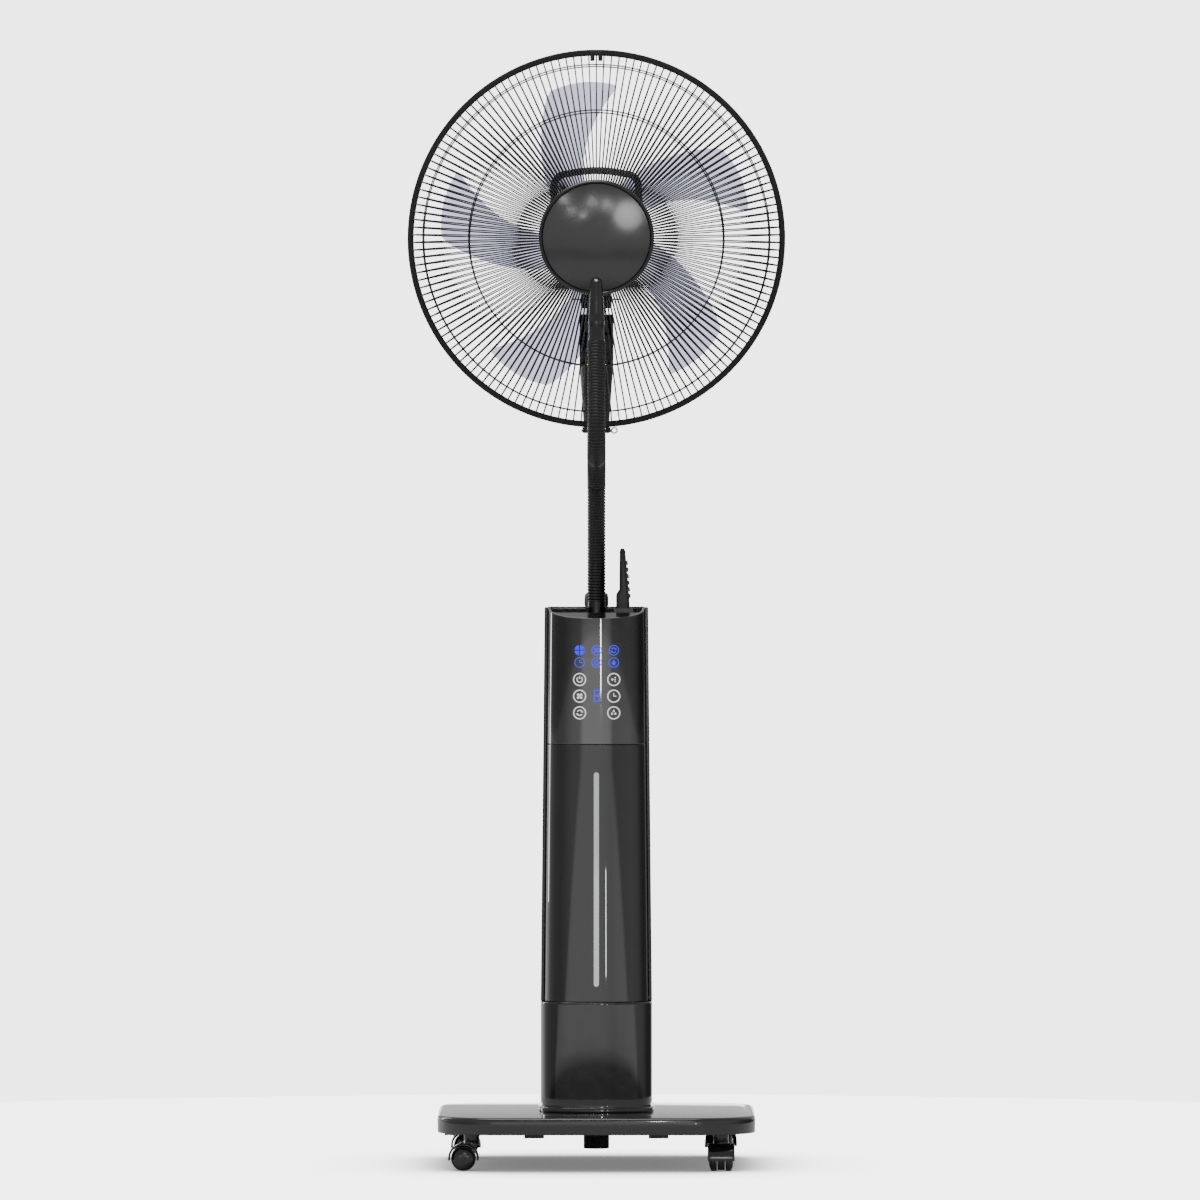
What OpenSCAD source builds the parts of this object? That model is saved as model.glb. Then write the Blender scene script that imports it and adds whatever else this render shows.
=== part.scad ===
// Misting pedestal fan: a guarded five-blade head on a telescopic pole, standing on a
// smoked column that holds a water tank, with a corrugated mist hose and a docked remote.
// Frame: millimetres, +Z up, front towards -Y, origin on the floor under the middle.

/* [Head] */
// Height of the fan's axis above the floor
head_z = 1081; // [1070:1:1090]
// Outer diameter of the guard's hoop
guard_d = 440; // [436:1:444]
// Sweep diameter of the blades
blade_d = 366; // [340:2:370]
// Number of blades
blade_count = 5; // [3:1:7]
// Number of ribs on each guard
rib_count = 30; // [20:2:36]
// Radius of the motor housing
motor_r = 62; // [60:0.5:63]

/* [Base] */
// Width of the base plate
base_w = 369; // [366:1:372]
// Depth of the base plate
base_d = 360; // [356:1:364]
// Corner radius of the base plate
base_r = 72; // [60:1:76]
// Diameter of a caster wheel
wheel_d = 28.7; // [28:0.1:29]
// Distance of a caster's stem from the middle, sideways
caster_x = 144.5; // [140:0.5:148]
// Distance of a caster's stem from the middle, front to back
caster_y = 134; // [130:0.5:138]

/* [Column] */
// Width of the column at its foot
col_w = 130; // [129:0.5:131]
// Width of the column at its top
col_top_w = 121; // [120:0.5:122]
// Height of the column's rear top edge
col_top = 651; // [650:0.5:652]
// Depth of the column's curved front
col_sag = 45; // [44:0.5:46]
// Height of the seam above the lower housing
seam_low = 192; // [190:0.5:194]
// Height of the seam between tank front and control panel
seam_high = 492; // [490:0.5:494]

/* [Pole] */
// Radius of the inner pole
pole_r = 9.5; // [9.4:0.1:9.5]
// Distance of the pole's axis behind the middle
pole_y = 52; // [51:0.5:53]
// Height of the tilt bolt
tilt_z = 952; // [951:0.5:953]

/* [Hidden] */
$fn = 64;
eps = 0.01;

// Running clearance of shafts in their holes, and the gap between separate covers
run = 0.05;
gap = 0.3;

// Base: underside, top, and the wall of its shell
base_bottom = 43;
base_top = 63;
base_wall = 2.5;

// Column: back face, start of the curved front, wall, and the shape of the front curve
col_back = 75;
col_front_y = -25;
col_wall = 2.5;
rail_t = 4;
front_power = 2.5;
tray_z = 645;
slope_front_z = 639;
slope_y = -col_sag + col_front_y;

// Pole and its collar
tube_r = 11;
tube_wall = 1.4;
tube_top = 664;
pole_bottom = 420;
pole_top = 924;
collar_z = 651.3;
collar_h = 16;
foot_bolt_r = 5;

// Neck
ear_w = 40;
tongue_w = 14;
tongue_r = 14;
ear_r = 17;
neck_top = 994;
bolt_r = 4;
pivot_r = 7;

// Head: guard planes and rings, measured along Y from front to back
hoop_y = -46;
front_depth = 70;
rear_depth = 65;
inner_ring_r = 148.2;
outer_ring_r = 201.5;
badge_r = 67;
rotor_y = -40;
blade_angle = 94;
shaft_r = 4;

// Mist hose, nozzle and duct
hose_r = 11;
hose_y = 25;
nozzle_y = -146;
sleeve_r = 9.3;

// Tank
tank_bottom = 200;
tank_top = 482;
tank_back = 10;
window_w = 6.4;
window_low = 210;
window_high = 460;
spout_z = 212;

// Remote control in its dock, with the slope of its key face
remote_y = 20;
remote_w = 43;
remote_bottom = 606;
key_tilt = 4.74;
key_pitch = 7.7;
key_first_z = 14.2;
remote_face_x = 39;
remote_face_z = 650;

// Casters: trail, hood and swivel stem
trail = 9.5;
hood_r = 17.75;
wheel_r = wheel_d / 2;
axle_r = 2.5;
lever_x = -trail - 12.4;
lever_z = wheel_r + 12.4;

// Route of the mist hose in the middle plane, as (y, z) from nozzle to column
hose_route = [[-146, 960], [-146, 915], [-146, 872], [-142, 853], [-133, 839], [-119, 829],
  [-100, 826], [-60, 826], [-21, 826], [-2, 822], [12, 812], [21, 797], [25, 780],
  [25, 720], [25, 657.5]];

// Plan outline of the column, inset by a wall on every side
function col_outline(w, side, back, front) =
  let (a = w / 2 - side, b = col_sag - front)
  concat(
    [[-a, col_back - back - 8], [-a + 2.3, col_back - back - 2.3], [-a + 8, col_back - back],
     [a - 8, col_back - back], [a - 2.3, col_back - back - 2.3], [a, col_back - back - 8]],
    [for (t = [0 : 7.5 : 180])
      [a * sign(cos(t)) * pow(abs(cos(t)), 2 / front_power),
       col_front_y - b * pow(sin(t), 2 / front_power)]]);

// Curved front strip between the side rails, as a thin plan outline
module front_strip(a, b, t) {
  outer = [for (k = [0 : 7.5 : 180])
    [a * sign(cos(k)) * pow(abs(cos(k)), 2 / front_power),
     col_front_y - b * pow(sin(k), 2 / front_power)]];
  inner = [for (k = [180 : -7.5 : 0])
    [(a - t) * sign(cos(k)) * pow(abs(cos(k)), 2 / front_power),
     col_front_y - (b - t) * pow(sin(k), 2 / front_power)]];
  polygon(concat([[a, col_front_y + 12]], outer, [[-a, col_front_y + 12]],
    [[-a + t, col_front_y + 12]], inner, [[a - t, col_front_y + 12]]));
}

// Width of the column at a height
function col_width(z) = z <= seam_low ? col_w
  : col_w + (col_top_w - col_w) * (z - seam_low) / (col_top - seam_low);

module rounded_plate(w, d, r, h) {
  linear_extrude(h) union() {
    square([w - 2 * r, d], center = true);
    square([w, d - 2 * r], center = true);
    for (sx = [-1, 1], sy = [-1, 1])
      translate([sx * (w / 2 - r), sy * (d / 2 - r)]) circle(r);
  }
}

module tube(r_out, r_in, h) {
  difference() {
    cylinder(r = r_out, h = h);
    translate([0, 0, -1]) cylinder(r = r_in, h = h + 2);
  }
}

// Turns a solid made along +Z so that it runs along +Y about the fan's axis
module on_axis(y = 0) {
  translate([0, y, head_z]) rotate([-90, 0, 0]) children();
}

// Cylinder along X through a point
module x_rod(r, x0, x1, y, z) {
  translate([x0, y, z]) rotate([0, 90, 0]) cylinder(r = r, h = x1 - x0);
}

// ---- Base ----
module base_plate() color([0.05, 0.05, 0.055]) {
  difference() {
    union() {
      translate([0, 0, base_bottom]) rounded_plate(base_w, base_d, base_r, base_top - base_bottom - 3);
      translate([0, 0, base_top - 3 - eps]) rounded_plate(base_w - 5, base_d - 5, base_r - 2.5, 3 + eps);
    }
    translate([0, 0, base_bottom - 1])
      rounded_plate(base_w - 2 * base_wall - 3, base_d - 2 * base_wall - 3, base_r - base_wall - 1.5,
        base_top - base_bottom - base_wall + 1);
    translate([0, pole_y, base_bottom]) cylinder(r = foot_bolt_r + 0.5, h = 30);
  }
}

module base_underplate() color([0.08, 0.08, 0.085]) {
  difference() {
    union() {
      translate([0, 0, base_bottom + 0.5])
        rounded_plate(base_w - 9, base_d - 9, base_r - 4.5, base_wall);
      for (sx = [-1, 1], sy = [-1, 1])
        translate([sx * caster_x, sy * caster_y, base_bottom + 0.5]) cylinder(r = 8, h = 16.5);
      for (sx = [-1, 1])
        translate([sx * 72 - 11.5, -152, base_bottom - 5]) cube([23, 14, 7]);
      for (sx = [-1, 1])
        translate([sx * 72 - 11.5, 138, base_bottom - 5]) cube([23, 14, 7]);
      translate([0, pole_y, base_bottom + 0.5]) cylinder(r = 18, h = 16.5);
    }
    translate([0, pole_y, base_bottom - 2]) cylinder(r = foot_bolt_r + 0.5, h = 30);
    for (sx = [-1, 1], sy = [-1, 1])
      translate([sx * caster_x, sy * caster_y, base_bottom - 1]) cylinder(r = 4 + run, h = 16.5);
  }
}

module base_nut() color([0.06, 0.06, 0.06]) {
  nut_h = 28;
  translate([0, pole_y, base_bottom + 0.4 - nut_h]) difference() {
    union() {
      cylinder(r = 13.5, h = nut_h);
      for (i = [0 : 11])
        rotate([0, 0, i * 30]) translate([13, 0, 0]) cylinder(r = 2, h = nut_h);
    }
    translate([0, 0, -1]) cylinder(r = foot_bolt_r + run, h = nut_h + 2);
  }
}

// ---- Column ----
module lower_housing() color([0.07, 0.07, 0.075]) {
  difference() {
    union() {
      translate([0, 0, base_top + gap])
        linear_extrude(seam_low - base_top - 2 * gap) polygon(col_outline(col_w, 0, 0, 0));
      translate([0, 0, base_top + gap]) linear_extrude(5) polygon(col_outline(col_w, -2.5, -2, -2.5));
    }
    translate([0, 0, base_top - 1])
      linear_extrude(seam_low) polygon(col_outline(col_w, col_wall, col_wall, col_wall));
    translate([-35, col_back - 10, 90]) rotate([-90, 0, 0]) cylinder(r = 6 + run, h = 20);
  }
}

module column_shell() color([0.08, 0.08, 0.085]) {
  top_scale = col_top_w / col_w;
  difference() {
    translate([0, 0, seam_low]) linear_extrude(col_top - seam_low, scale = [top_scale, 1], slices = 1)
      polygon(col_outline(col_w, 0, 0, 0));
    translate([0, 0, seam_low - 1])
      linear_extrude(col_top - seam_low + 2, slices = 1,
        scale = [(col_top_w - 2 * rail_t) / (col_w - 2 * rail_t), 1])
      polygon(col_outline(col_w, rail_t, col_wall, 0));
    translate([-100, -120, seam_low - 1]) cube([200, 93, 500]);
    for (sx = [-1, 1], z = [seam_low + 20, col_top - 30])
      translate([sx * 42, col_back - 10, z]) rotate([-90, 0, 0]) cylinder(r = 2.1, h = 20);
  }
}

module control_panel() color([0.1, 0.1, 0.11]) {
  low_a = col_width(seam_high) / 2 - rail_t - gap;
  top_a = col_top_w / 2 - rail_t - gap;
  difference() {
    translate([0, 0, seam_high + gap])
      linear_extrude(col_top - seam_high - gap, scale = [top_a / low_a, 1], slices = 1)
      front_strip(low_a, col_sag, 3);
    translate([-80, 0, 0]) rotate([90, 0, 90]) linear_extrude(160)
      polygon([[col_front_y, col_top], [slope_y, slope_front_z], [slope_y - 15, slope_front_z - 4],
        [slope_y - 15, col_top + 20], [col_front_y, col_top + 20]]);
  }
}

module display_board() color([0.1, 0.35, 0.2]) {
  translate([-38, -49.6, 520]) cube([76, 1.6, 90]);
}

module top_tray() color([0.08, 0.08, 0.085]) {
  half_w = col_top_w / 2 - rail_t - gap;
  difference() {
    union() {
      intersection() {
        union() {
          translate([0, 0, 600]) linear_extrude(60)
            polygon(col_outline(2 * half_w, 3 + gap, col_wall + gap, 3 + gap + 0.5));
          translate([-half_w, col_front_y + 12 + gap, 600])
            cube([2 * half_w, col_back - 12 - col_front_y - 12, 60]);
        }
        translate([-80, 0, 0]) rotate([90, 0, 90]) linear_extrude(160)
          polygon([[80, tray_z - 4], [80, tray_z + 3], [69, tray_z + 3], [67, tray_z], [-24, tray_z],
            [-70, tray_z - 12.3], [-70, tray_z - 16.3], [-24, tray_z - 4]]);
      }
      translate([0, hose_y, tray_z - 2]) cylinder(r = 10.3, h = 14);
    }
    translate([0, hose_y, tray_z - 10]) cylinder(r = 8.4, h = 30);
    translate([0, pole_y, tray_z - 10]) cylinder(r = tube_r + 0.4, h = 30);
    translate([20.2, remote_y - 24.8, tray_z - 10]) cube([23.1, 49.6, 30]);
  }
}

module nebulizer_basin() color([0.75, 0.78, 0.8]) {
  difference() {
    union() {
      translate([-46, -50, 148]) cube([92, 86, 44]);
      translate([-18, 13.6, 190]) cube([36, 22.4, 36]);
    }
    translate([-43.5, -47.5, 150.5]) cube([87, 58.5, 50]);
    translate([-15.5, 16.4, 150.5]) cube([31, 17.1, 90]);
    translate([-10, 5, 152]) cube([20, 20, 26]);
    translate([0, 5, spout_z]) rotate([-90, 0, 0]) cylinder(r = 5.6, h = 20);
  }
  translate([0, -16, 150.5]) cylinder(r = 14, h = 6);
}

module mist_duct() color([0.7, 0.72, 0.74]) {
  translate([0, hose_y, 226]) tube(10, 8.4, tray_z - 4.2 - 226);
}

module blower_housing() color([0.12, 0.12, 0.13]) {
  translate([0, -8, 76]) {
    difference() {
      union() {
        tube(34, 32, 56);
        cylinder(r = 34, h = 2);
      }
      translate([28, -8, 20]) cube([10, 16, 20]);
    }
    difference() {
      cylinder(r = 13, h = 20);
      translate([0, 0, 4]) cylinder(r = 2 + run, h = 30);
    }
    translate([0, 0, 56]) tube(34, 14, 2);
  }
}

module blower_impeller() color([0.85, 0.85, 0.85]) {
  translate([0, -8, 76]) {
    translate([0, 0, 6]) cylinder(r = 2, h = 18);
    translate([0, 0, 22]) cylinder(r = 26, h = 2);
    translate([0, 0, 22]) cylinder(r = 7, h = 12);
    for (i = [0 : 11])
      rotate([0, 0, i * 30]) translate([16, -0.6, 23]) rotate([0, 0, 25]) cube([9, 1.2, 22]);
  }
}

module pole_outer_tube() color([0.15, 0.15, 0.16]) {
  translate([0, pole_y, 0]) {
    translate([0, 0, base_top + gap]) tube(tube_r, tube_r - tube_wall, tube_top - base_top - gap);
    translate([0, 0, base_top + gap]) cylinder(r = tube_r, h = 12);
    translate([0, 0, 18]) cylinder(r = foot_bolt_r, h = base_top + 1 - 18);
  }
}

module remote_dock() color([0.04, 0.04, 0.04]) {
  difference() {
    union() {
      translate([20.5, remote_y - 24.5, 602]) cube([22.5, 49, 47]);
      translate([21.5, remote_y - 23.5, 648]) cube([20.5, 47, 2]);
    }
    translate([22.2, remote_y - remote_w / 2 - 0.7, remote_bottom - 0.3])
      cube([17.6, remote_w + 1.4, 60]);
  }
}

module cord_inlet() color([0.05, 0.05, 0.05]) {
  translate([-35, 0, 90]) rotate([-90, 0, 0]) difference() {
    union() {
      translate([0, 0, col_back - 8]) cylinder(r = 6, h = 10);
      translate([0, 0, col_back]) cylinder(r = 8.5, h = 2.5);
    }
    translate([0, 0, col_back - 12]) cylinder(r = 3.4, h = 20);
  }
}

module column_screws() color([0.6, 0.6, 0.62]) {
  for (sx = [-1, 1], z = [seam_low + 20, col_top - 30])
    translate([sx * 42, col_back - 9, z]) rotate([-90, 0, 0]) {
      cylinder(r = 2, h = 9.5);
      translate([0, 0, 9.05]) cylinder(r = 3.8, h = 1.8);
    }
}

// Hose swept along its route: one ring of points at each route point
module mist_hose() color([0.06, 0.06, 0.065]) {
  sides = 12;
  last = len(hose_route) - 1;
  points = [for (i = [0 : last])
    let (a = hose_route[max(i - 1, 0)], b = hose_route[min(i + 1, last)],
         d = (b - a) / norm(b - a), p = hose_route[i])
    for (k = [0 : sides - 1])
      let (c = cos(360 * k / sides), s = sin(360 * k / sides))
      [hose_r * c, p[0] - hose_r * s * d[1], p[1] + hose_r * s * d[0]]];
  walls = [for (i = [0 : last - 1]) for (k = [0 : sides - 1])
    let (n = (k + 1) % sides)
    [i * sides + k, i * sides + n, (i + 1) * sides + n, (i + 1) * sides + k]];
  caps = [[for (k = [sides - 1 : -1 : 0]) k], [for (k = [0 : sides - 1]) last * sides + k]];
  polyhedron(points, concat(walls, caps), convexity = 6);
}

// ---- Water tank drawer ----
module water_tank() color([0.55, 0.6, 0.65, 0.6]) {
  difference() {
    translate([0, 0, tank_bottom]) linear_extrude(tank_top - tank_bottom)
      tank_outline(50, 38, tank_back);
    translate([0, 0, tank_bottom + 2.5]) linear_extrude(tank_top - tank_bottom - 5)
      tank_outline(47.5, 35.5, tank_back - 2.5);
    translate([-30, -45, tank_top - 10]) cube([60, 40, 20]);
    translate([0, -5, spout_z]) rotate([-90, 0, 0]) cylinder(r = 3.5, h = 30);
  }
}

module tank_outline(a, b, back) {
  polygon(concat([[-a, back], [a, back]], [for (t = [0 : 9 : 180])
    [a * sign(cos(t)) * pow(abs(cos(t)), 2 / front_power),
     col_front_y - b * pow(sin(t), 2 / front_power)]]));
}

module tank_front() color([0.09, 0.09, 0.1]) {
  low_a = col_w / 2 - rail_t - gap;
  top_a = col_width(seam_high) / 2 - rail_t - gap;
  difference() {
    translate([0, 0, seam_low + gap]) linear_extrude(seam_high - seam_low - 2 * gap,
      scale = [top_a / low_a, 1], slices = 1) front_strip(low_a, col_sag, 3);
    window_bar(window_w / 2 + 0.1, 20);
  }
}

// Upright bar with round ends, standing in the front face
module window_bar(r, depth) {
  y0 = slope_y - 0.2;
  for (z = [window_low + window_w / 2, window_high - window_w / 2])
    translate([0, y0 - (depth > 10 ? 5 : 0), z]) rotate([-90, 0, 0]) cylinder(r = r, h = depth);
  translate([-r, y0 - (depth > 10 ? 5 : 0), window_low + window_w / 2])
    cube([2 * r, depth, window_high - window_low - window_w]);
}

module level_window() color([0.85, 0.87, 0.9]) window_bar(window_w / 2, 3.6);

module tank_valve() color([0.9, 0.9, 0.9]) {
  translate([0, tank_back, spout_z]) rotate([-90, 0, 0]) difference() {
    cylinder(r = 5, h = 9);
    translate([0, 0, -1]) cylinder(r = 3.5, h = 20);
  }
}

// ---- Pole ----
module inner_pole() color([0.35, 0.35, 0.37]) {
  translate([0, pole_y, pole_bottom]) tube(pole_r, pole_r - 1.2, pole_top - pole_bottom);
}

module neck_socket() color([0.09, 0.09, 0.095]) {
  translate([0, pole_y, 0]) difference() {
    union() {
      translate([0, 0, 860]) cylinder(r1 = 14.5, r2 = ear_w / 2, h = tilt_z - ear_r - 1 - 860);
      translate([-tongue_w / 2, -tongue_r, 930]) cube([tongue_w, 2 * tongue_r, tilt_z - 930]);
      x_rod(tongue_r, -tongue_w / 2, tongue_w / 2, 0, tilt_z);
    }
    translate([0, 0, 850]) cylinder(r = pole_r, h = pole_top - 850);
    x_rod(bolt_r + run, -20, 20, 0, tilt_z);
  }
}

module height_collar() color([0.05, 0.05, 0.055]) {
  translate([0, pole_y, collar_z]) difference() {
    union() {
      cylinder(r = 13.6, h = collar_h);
      for (i = [0 : 17])
        rotate([0, 0, i * 20]) translate([13.4, 0, 1.5]) cylinder(r = 0.8, h = collar_h - 3);
    }
    translate([0, 0, -1]) cylinder(r = tube_r + run, h = 14);
    translate([0, 0, -1]) cylinder(r = pole_r + run, h = 30);
  }
}

// ---- Tilting neck ----
module tilt_bracket() color([0.09, 0.09, 0.095]) {
  translate([0, pole_y, 0]) difference() {
    union() {
      x_rod(ear_r, -ear_w / 2, ear_w / 2, 0, tilt_z);
      translate([-ear_w / 2, -ear_r, tilt_z]) cube([ear_w, 2 * ear_r, neck_top - tilt_z]);
    }
    translate([-tongue_w / 2 - gap, -30, tilt_z - 30]) cube([tongue_w + 2 * gap, 60, 45]);
    x_rod(bolt_r, -30, 30, 0, tilt_z);
    x_rod(7, ear_w / 2 - 4, 30, 0, tilt_z);
    x_rod(7, -30, -ear_w / 2 + 4, 0, tilt_z);
    translate([0, 0, neck_top - 23]) cylinder(r = pivot_r + run, h = 30);
  }
}

module tilt_bolt() color([0.6, 0.6, 0.62]) {
  x_rod(bolt_r, -ear_w / 2 + 0.5, ear_w / 2 - 0.5, pole_y, tilt_z);
  translate([ear_w / 2 - 4, pole_y, tilt_z]) rotate([0, 90, 0]) cylinder(r = 6.5, h = 3.6, $fn = 6);
  translate([-ear_w / 2 + 0.4, pole_y, tilt_z]) rotate([0, 90, 0]) cylinder(r = 6.5, h = 3.6, $fn = 6);
}

// ---- Head ----
module motor_housing() color([0.08, 0.08, 0.085]) {
  on_axis() difference() {
    rotate_extrude() polygon([[motor_r - 2.2, 29], [motor_r, 29], [motor_r, 100], [motor_r - 3, 110],
      [motor_r - 10, 117], [motor_r - 24, 121], [8, 122], [8, 119.6], [11, 119.6], [11, 98], [13.5, 98],
      [13.5, 119.4], [motor_r - 24.5, 118.6], [motor_r - 11.5, 114.8], [motor_r - 5, 109],
      [motor_r - 2.2, 100]]);
    for (i = [0 : 15])
      rotate([0, 0, i * 22.5]) translate([22, -1.5, 110]) cube([22, 3, 20]);
  }
}

module motor_front_bell() color([0.6, 0.6, 0.62]) {
  on_axis() difference() {
    rotate_extrude() polygon([[14, 8], [18, 8], [18, 23], [59.5, 23], [59.5, 35], [57, 35], [57, 26],
      [13.5, 26], [13.5, 38], [11, 38], [11, 28], [7, 28], [7, 23.5], [14, 23.5]]);
    for (i = [0 : 7])
      rotate([0, 0, i * 45]) translate([38, 0, 20]) cylinder(r = 7, h = 10);
  }
}

module stator() color([0.5, 0.5, 0.52]) {
  on_axis() {
    translate([0, 0, 48]) tube(50, 30, 25);
    for (i = [0 : 3])
      rotate([0, 0, i * 90 + 45]) translate([49, -6, 48]) cube([10.4, 12, 25]);
    for (z = [40.5, 73])
      translate([0, 0, z]) color([0.7, 0.4, 0.2]) tube(44, 33, 7.5);
  }
}

module motor_bearings() color([0.75, 0.75, 0.77]) {
  on_axis() for (z = [28.5, 99])
    translate([0, 0, z]) tube(11, shaft_r + run, 7);
}

module swing_base() color([0.09, 0.09, 0.095]) {
  difference() {
    union() {
      translate([-18, 31, 1001]) cube([36, 40, 24]);
      translate([0, pole_y, neck_top + gap]) cylinder(r = 10.5, h = 8);
      translate([0, pole_y, neck_top - 22]) cylinder(r = pivot_r, h = 24);
    }
    on_axis() translate([0, 0, 0]) cylinder(r = motor_r, h = 130);
  }
}

module swing_motor() color([0.55, 0.56, 0.58]) {
  translate([0, 92, 0]) {
    translate([0, 0, 1002]) cylinder(r = 18, h = 16.5);
    translate([-28, -8, 1011]) cube([56, 16, 1.6]);
    translate([0, 8, 996]) cylinder(r = 2.5, h = 7);
  }
}

// Flat pattern of rings joined by radial ribs; each ring is [inner radius, outer radius]
module rib_pattern(count, w, rings) {
  step = 360 / count;
  last = len(rings) - 1;
  edge = [for (i = [0 : 2 * count - 1])
    [rings[last][1] * cos(i * step / 2), rings[last][1] * sin(i * step / 2)]];
  holes = [for (z = [0 : last - 1]) for (i = [0 : count - 1])
    let (r0 = rings[z][1], r1 = rings[z + 1][0], a0 = i * step + step / 2, a1 = a0 + step,
         d0 = asin(w / 2 / r0), d1 = asin(w / 2 / r1))
    [[r0 * cos(a0 + d0), r0 * sin(a0 + d0)], [r1 * cos(a0 + d1), r1 * sin(a0 + d1)],
     [r1 * cos(a1 - d1), r1 * sin(a1 - d1)], [r0 * cos(a1 - d0), r0 * sin(a1 - d0)]]];
  polygon(concat(edge, [for (h = holes) each h]),
    concat([[for (i = [0 : 2 * count - 1]) i]],
      [for (k = [0 : len(holes) - 1]) [for (j = [0 : 3]) 2 * count + 4 * k + j]]));
}

// Bowl-shaped section between radii r0 and r1 that bulges by depth, as a thin strip
function bowl(r0, r1, depth, t) = concat(
  [for (k = [0 : 18 : 90]) [r0 + (r1 - r0) * sin(k), depth * cos(k)]],
  [for (k = [90 : -18 : 0]) [r0 + (r1 - r0) * sin(k) - t * sin(k), depth * cos(k) - t * cos(k) - 0.4]]);

module guard_half(r0, depth) {
  intersection() {
    rotate_extrude() polygon(bowl(r0, guard_d / 2 - 4.4, depth, 1.8));
    translate([0, 0, -2]) linear_extrude(depth + 4)
      rib_pattern(rib_count, 2.4, [[r0 - 2, r0 + 2], [inner_ring_r - 1.6, inner_ring_r + 1.6],
        [outer_ring_r - 1.6, outer_ring_r + 1.6], [guard_d / 2 - 6, guard_d / 2]]);
  }
}

module rear_guard() color([0.12, 0.12, 0.13]) {
  on_axis(hoop_y + 3) {
    guard_half(60, rear_depth);
    translate([0, 0, rear_depth - 2.4]) tube(61, 18.3, 2);
    rotate_extrude() translate([guard_d / 2 - 5, 0]) circle(r = 2.3);
  }
}

module front_guard() color([0.12, 0.12, 0.13]) {
  translate([0, hoop_y - 3, head_z]) rotate([90, 0, 0]) {
    guard_half(60, front_depth);
    translate([0, 0, front_depth - 2.4]) tube(61, 18.3, 2);
    rotate_extrude() translate([guard_d / 2 - 5, 0]) circle(r = 2.3);
  }
}

module guard_hoop() color([0.1, 0.1, 0.105]) {
  on_axis(hoop_y) rotate_extrude() polygon([[guard_d / 2 - 4, -7], [guard_d / 2, -7],
    [guard_d / 2, 7], [guard_d / 2 - 4, 7], [guard_d / 2 - 4, 5.6], [guard_d / 2 - 1.6, 5.6],
    [guard_d / 2 - 1.6, -5.6], [guard_d / 2 - 4, -5.6]]);
}

module guard_clips() color([0.07, 0.07, 0.07]) {
  for (sx = [-1, 1])
    translate([sx * 4.6 - 2.6, hoop_y - 18, head_z + 206]) cube([5.2, 4, 10.5]);
  translate([-7.2, hoop_y - 18, head_z + 212.5]) cube([14.4, 4, 5.8]);
  translate([-7.2, hoop_y - 18, head_z + 216.4]) cube([14.4, 11, 1.9]);
  difference() {
    translate([-15.5, hoop_y - 6, head_z - guard_d / 2 - 7]) cube([31, 12, 10]);
    on_axis(hoop_y - 10) cylinder(r = guard_d / 2 + 0.02, h = 20, $fn = 360);
    translate([-11, hoop_y - 10, head_z - guard_d / 2 - 10]) cube([22, 20, 8.2]);
  }
  x_rod(1.6, -18.4, 24, hoop_y, head_z - guard_d / 2 - 3.9);
}

// Round badge with its raised rim, clipped onto the front guard
module badge_disc() color([0.29, 0.29, 0.3]) {
  translate([0, hoop_y - 3 - front_depth - 0.2, head_z]) rotate([90, 0, 0]) {
    cylinder(r = 63, h = 4.5);
    tube(badge_r, 62.8, 8);
  }
}

module carry_handle() color([0.06, 0.06, 0.065]) {
  hand_y = 60;
  translate([0, hand_y, 0]) difference() {
    translate([-54, 0, 1112]) cube([108, 18, 55]);
    translate([-45.5, -1, 1100]) cube([91, 20, 58.5]);
    translate([0, -1, head_z]) rotate([-90, 0, 0]) cylinder(r = motor_r + 0.02, h = 30);
  }
}

module mist_nozzle() color([0.05, 0.05, 0.055]) {
  translate([0, nozzle_y, 0]) difference() {
    union() {
      translate([0, 0, 960.3]) cylinder(r = sleeve_r, h = 30.3);
      translate([0, 0, 990.5]) cylinder(r1 = sleeve_r, r2 = 7, h = 37);
      translate([0, 0, 1027.5]) sphere(r = 7);
      translate([-5, 0, 973]) cube([10, 28, 9]);
      translate([-14, 26, 971]) cube([28, 2, 13]);
    }
    translate([0, 0, 950]) cylinder(r = 5, h = 79);
    translate([0, 0, 1029]) rotate([60, 0, 0]) cylinder(r = 1.6, h = 20);
  }
}

// ---- Rotor ----
module blade() {
  root_r = 34;
  span = blade_d / 2 - root_r;
  back_sweep = 32;
  function half_w(t) = (20 + 22 * t) * sqrt(1 - pow(t, 16));
  function edge(t, side) =
    let (r = root_r + span * t, a = back_sweep * (1 - t) + side * half_w(t) / r * 180 / PI)
    [r * cos(a), r * sin(a)];
  polygon(concat([for (t = [0 : 0.05 : 1]) edge(t, 1)], [for (t = [0.95 : -0.05 : 0]) edge(t, -1)]));
}

module fan_blades() color([0.45, 0.5, 0.6, 0.6]) {
  on_axis(rotor_y) {
    translate([0, 0, -18]) difference() {
      cylinder(r1 = 36, r2 = 40, h = 36);
      translate([0, 0, 3]) cylinder(r = 34, h = 40);
      translate([0, 0, -1]) cylinder(r = shaft_r, h = 10);
    }
    for (i = [0 : blade_count - 1])
      rotate([0, 0, blade_angle + i * 360 / blade_count]) rotate([22, 0, 0])
        translate([0, 0, -1.1]) linear_extrude(2.2) blade();
  }
}

module motor_shaft() color([0.75, 0.75, 0.77]) {
  on_axis(-72) cylinder(r = shaft_r, h = 180);
}

module rotor_core() color([0.5, 0.5, 0.52]) {
  on_axis(48) tube(29.4, shaft_r, 25);
}

module spinner_nut() color([0.3, 0.32, 0.36]) {
  on_axis(-76) difference() {
    union() {
      cylinder(r1 = 15, r2 = 19, h = 17.9);
      for (i = [0 : 5])
        rotate([0, 0, i * 60]) translate([16, 0, 0]) cylinder(r = 3, h = 17.9);
    }
    translate([0, 0, 4]) cylinder(r = shaft_r, h = 20);
  }
}

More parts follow.
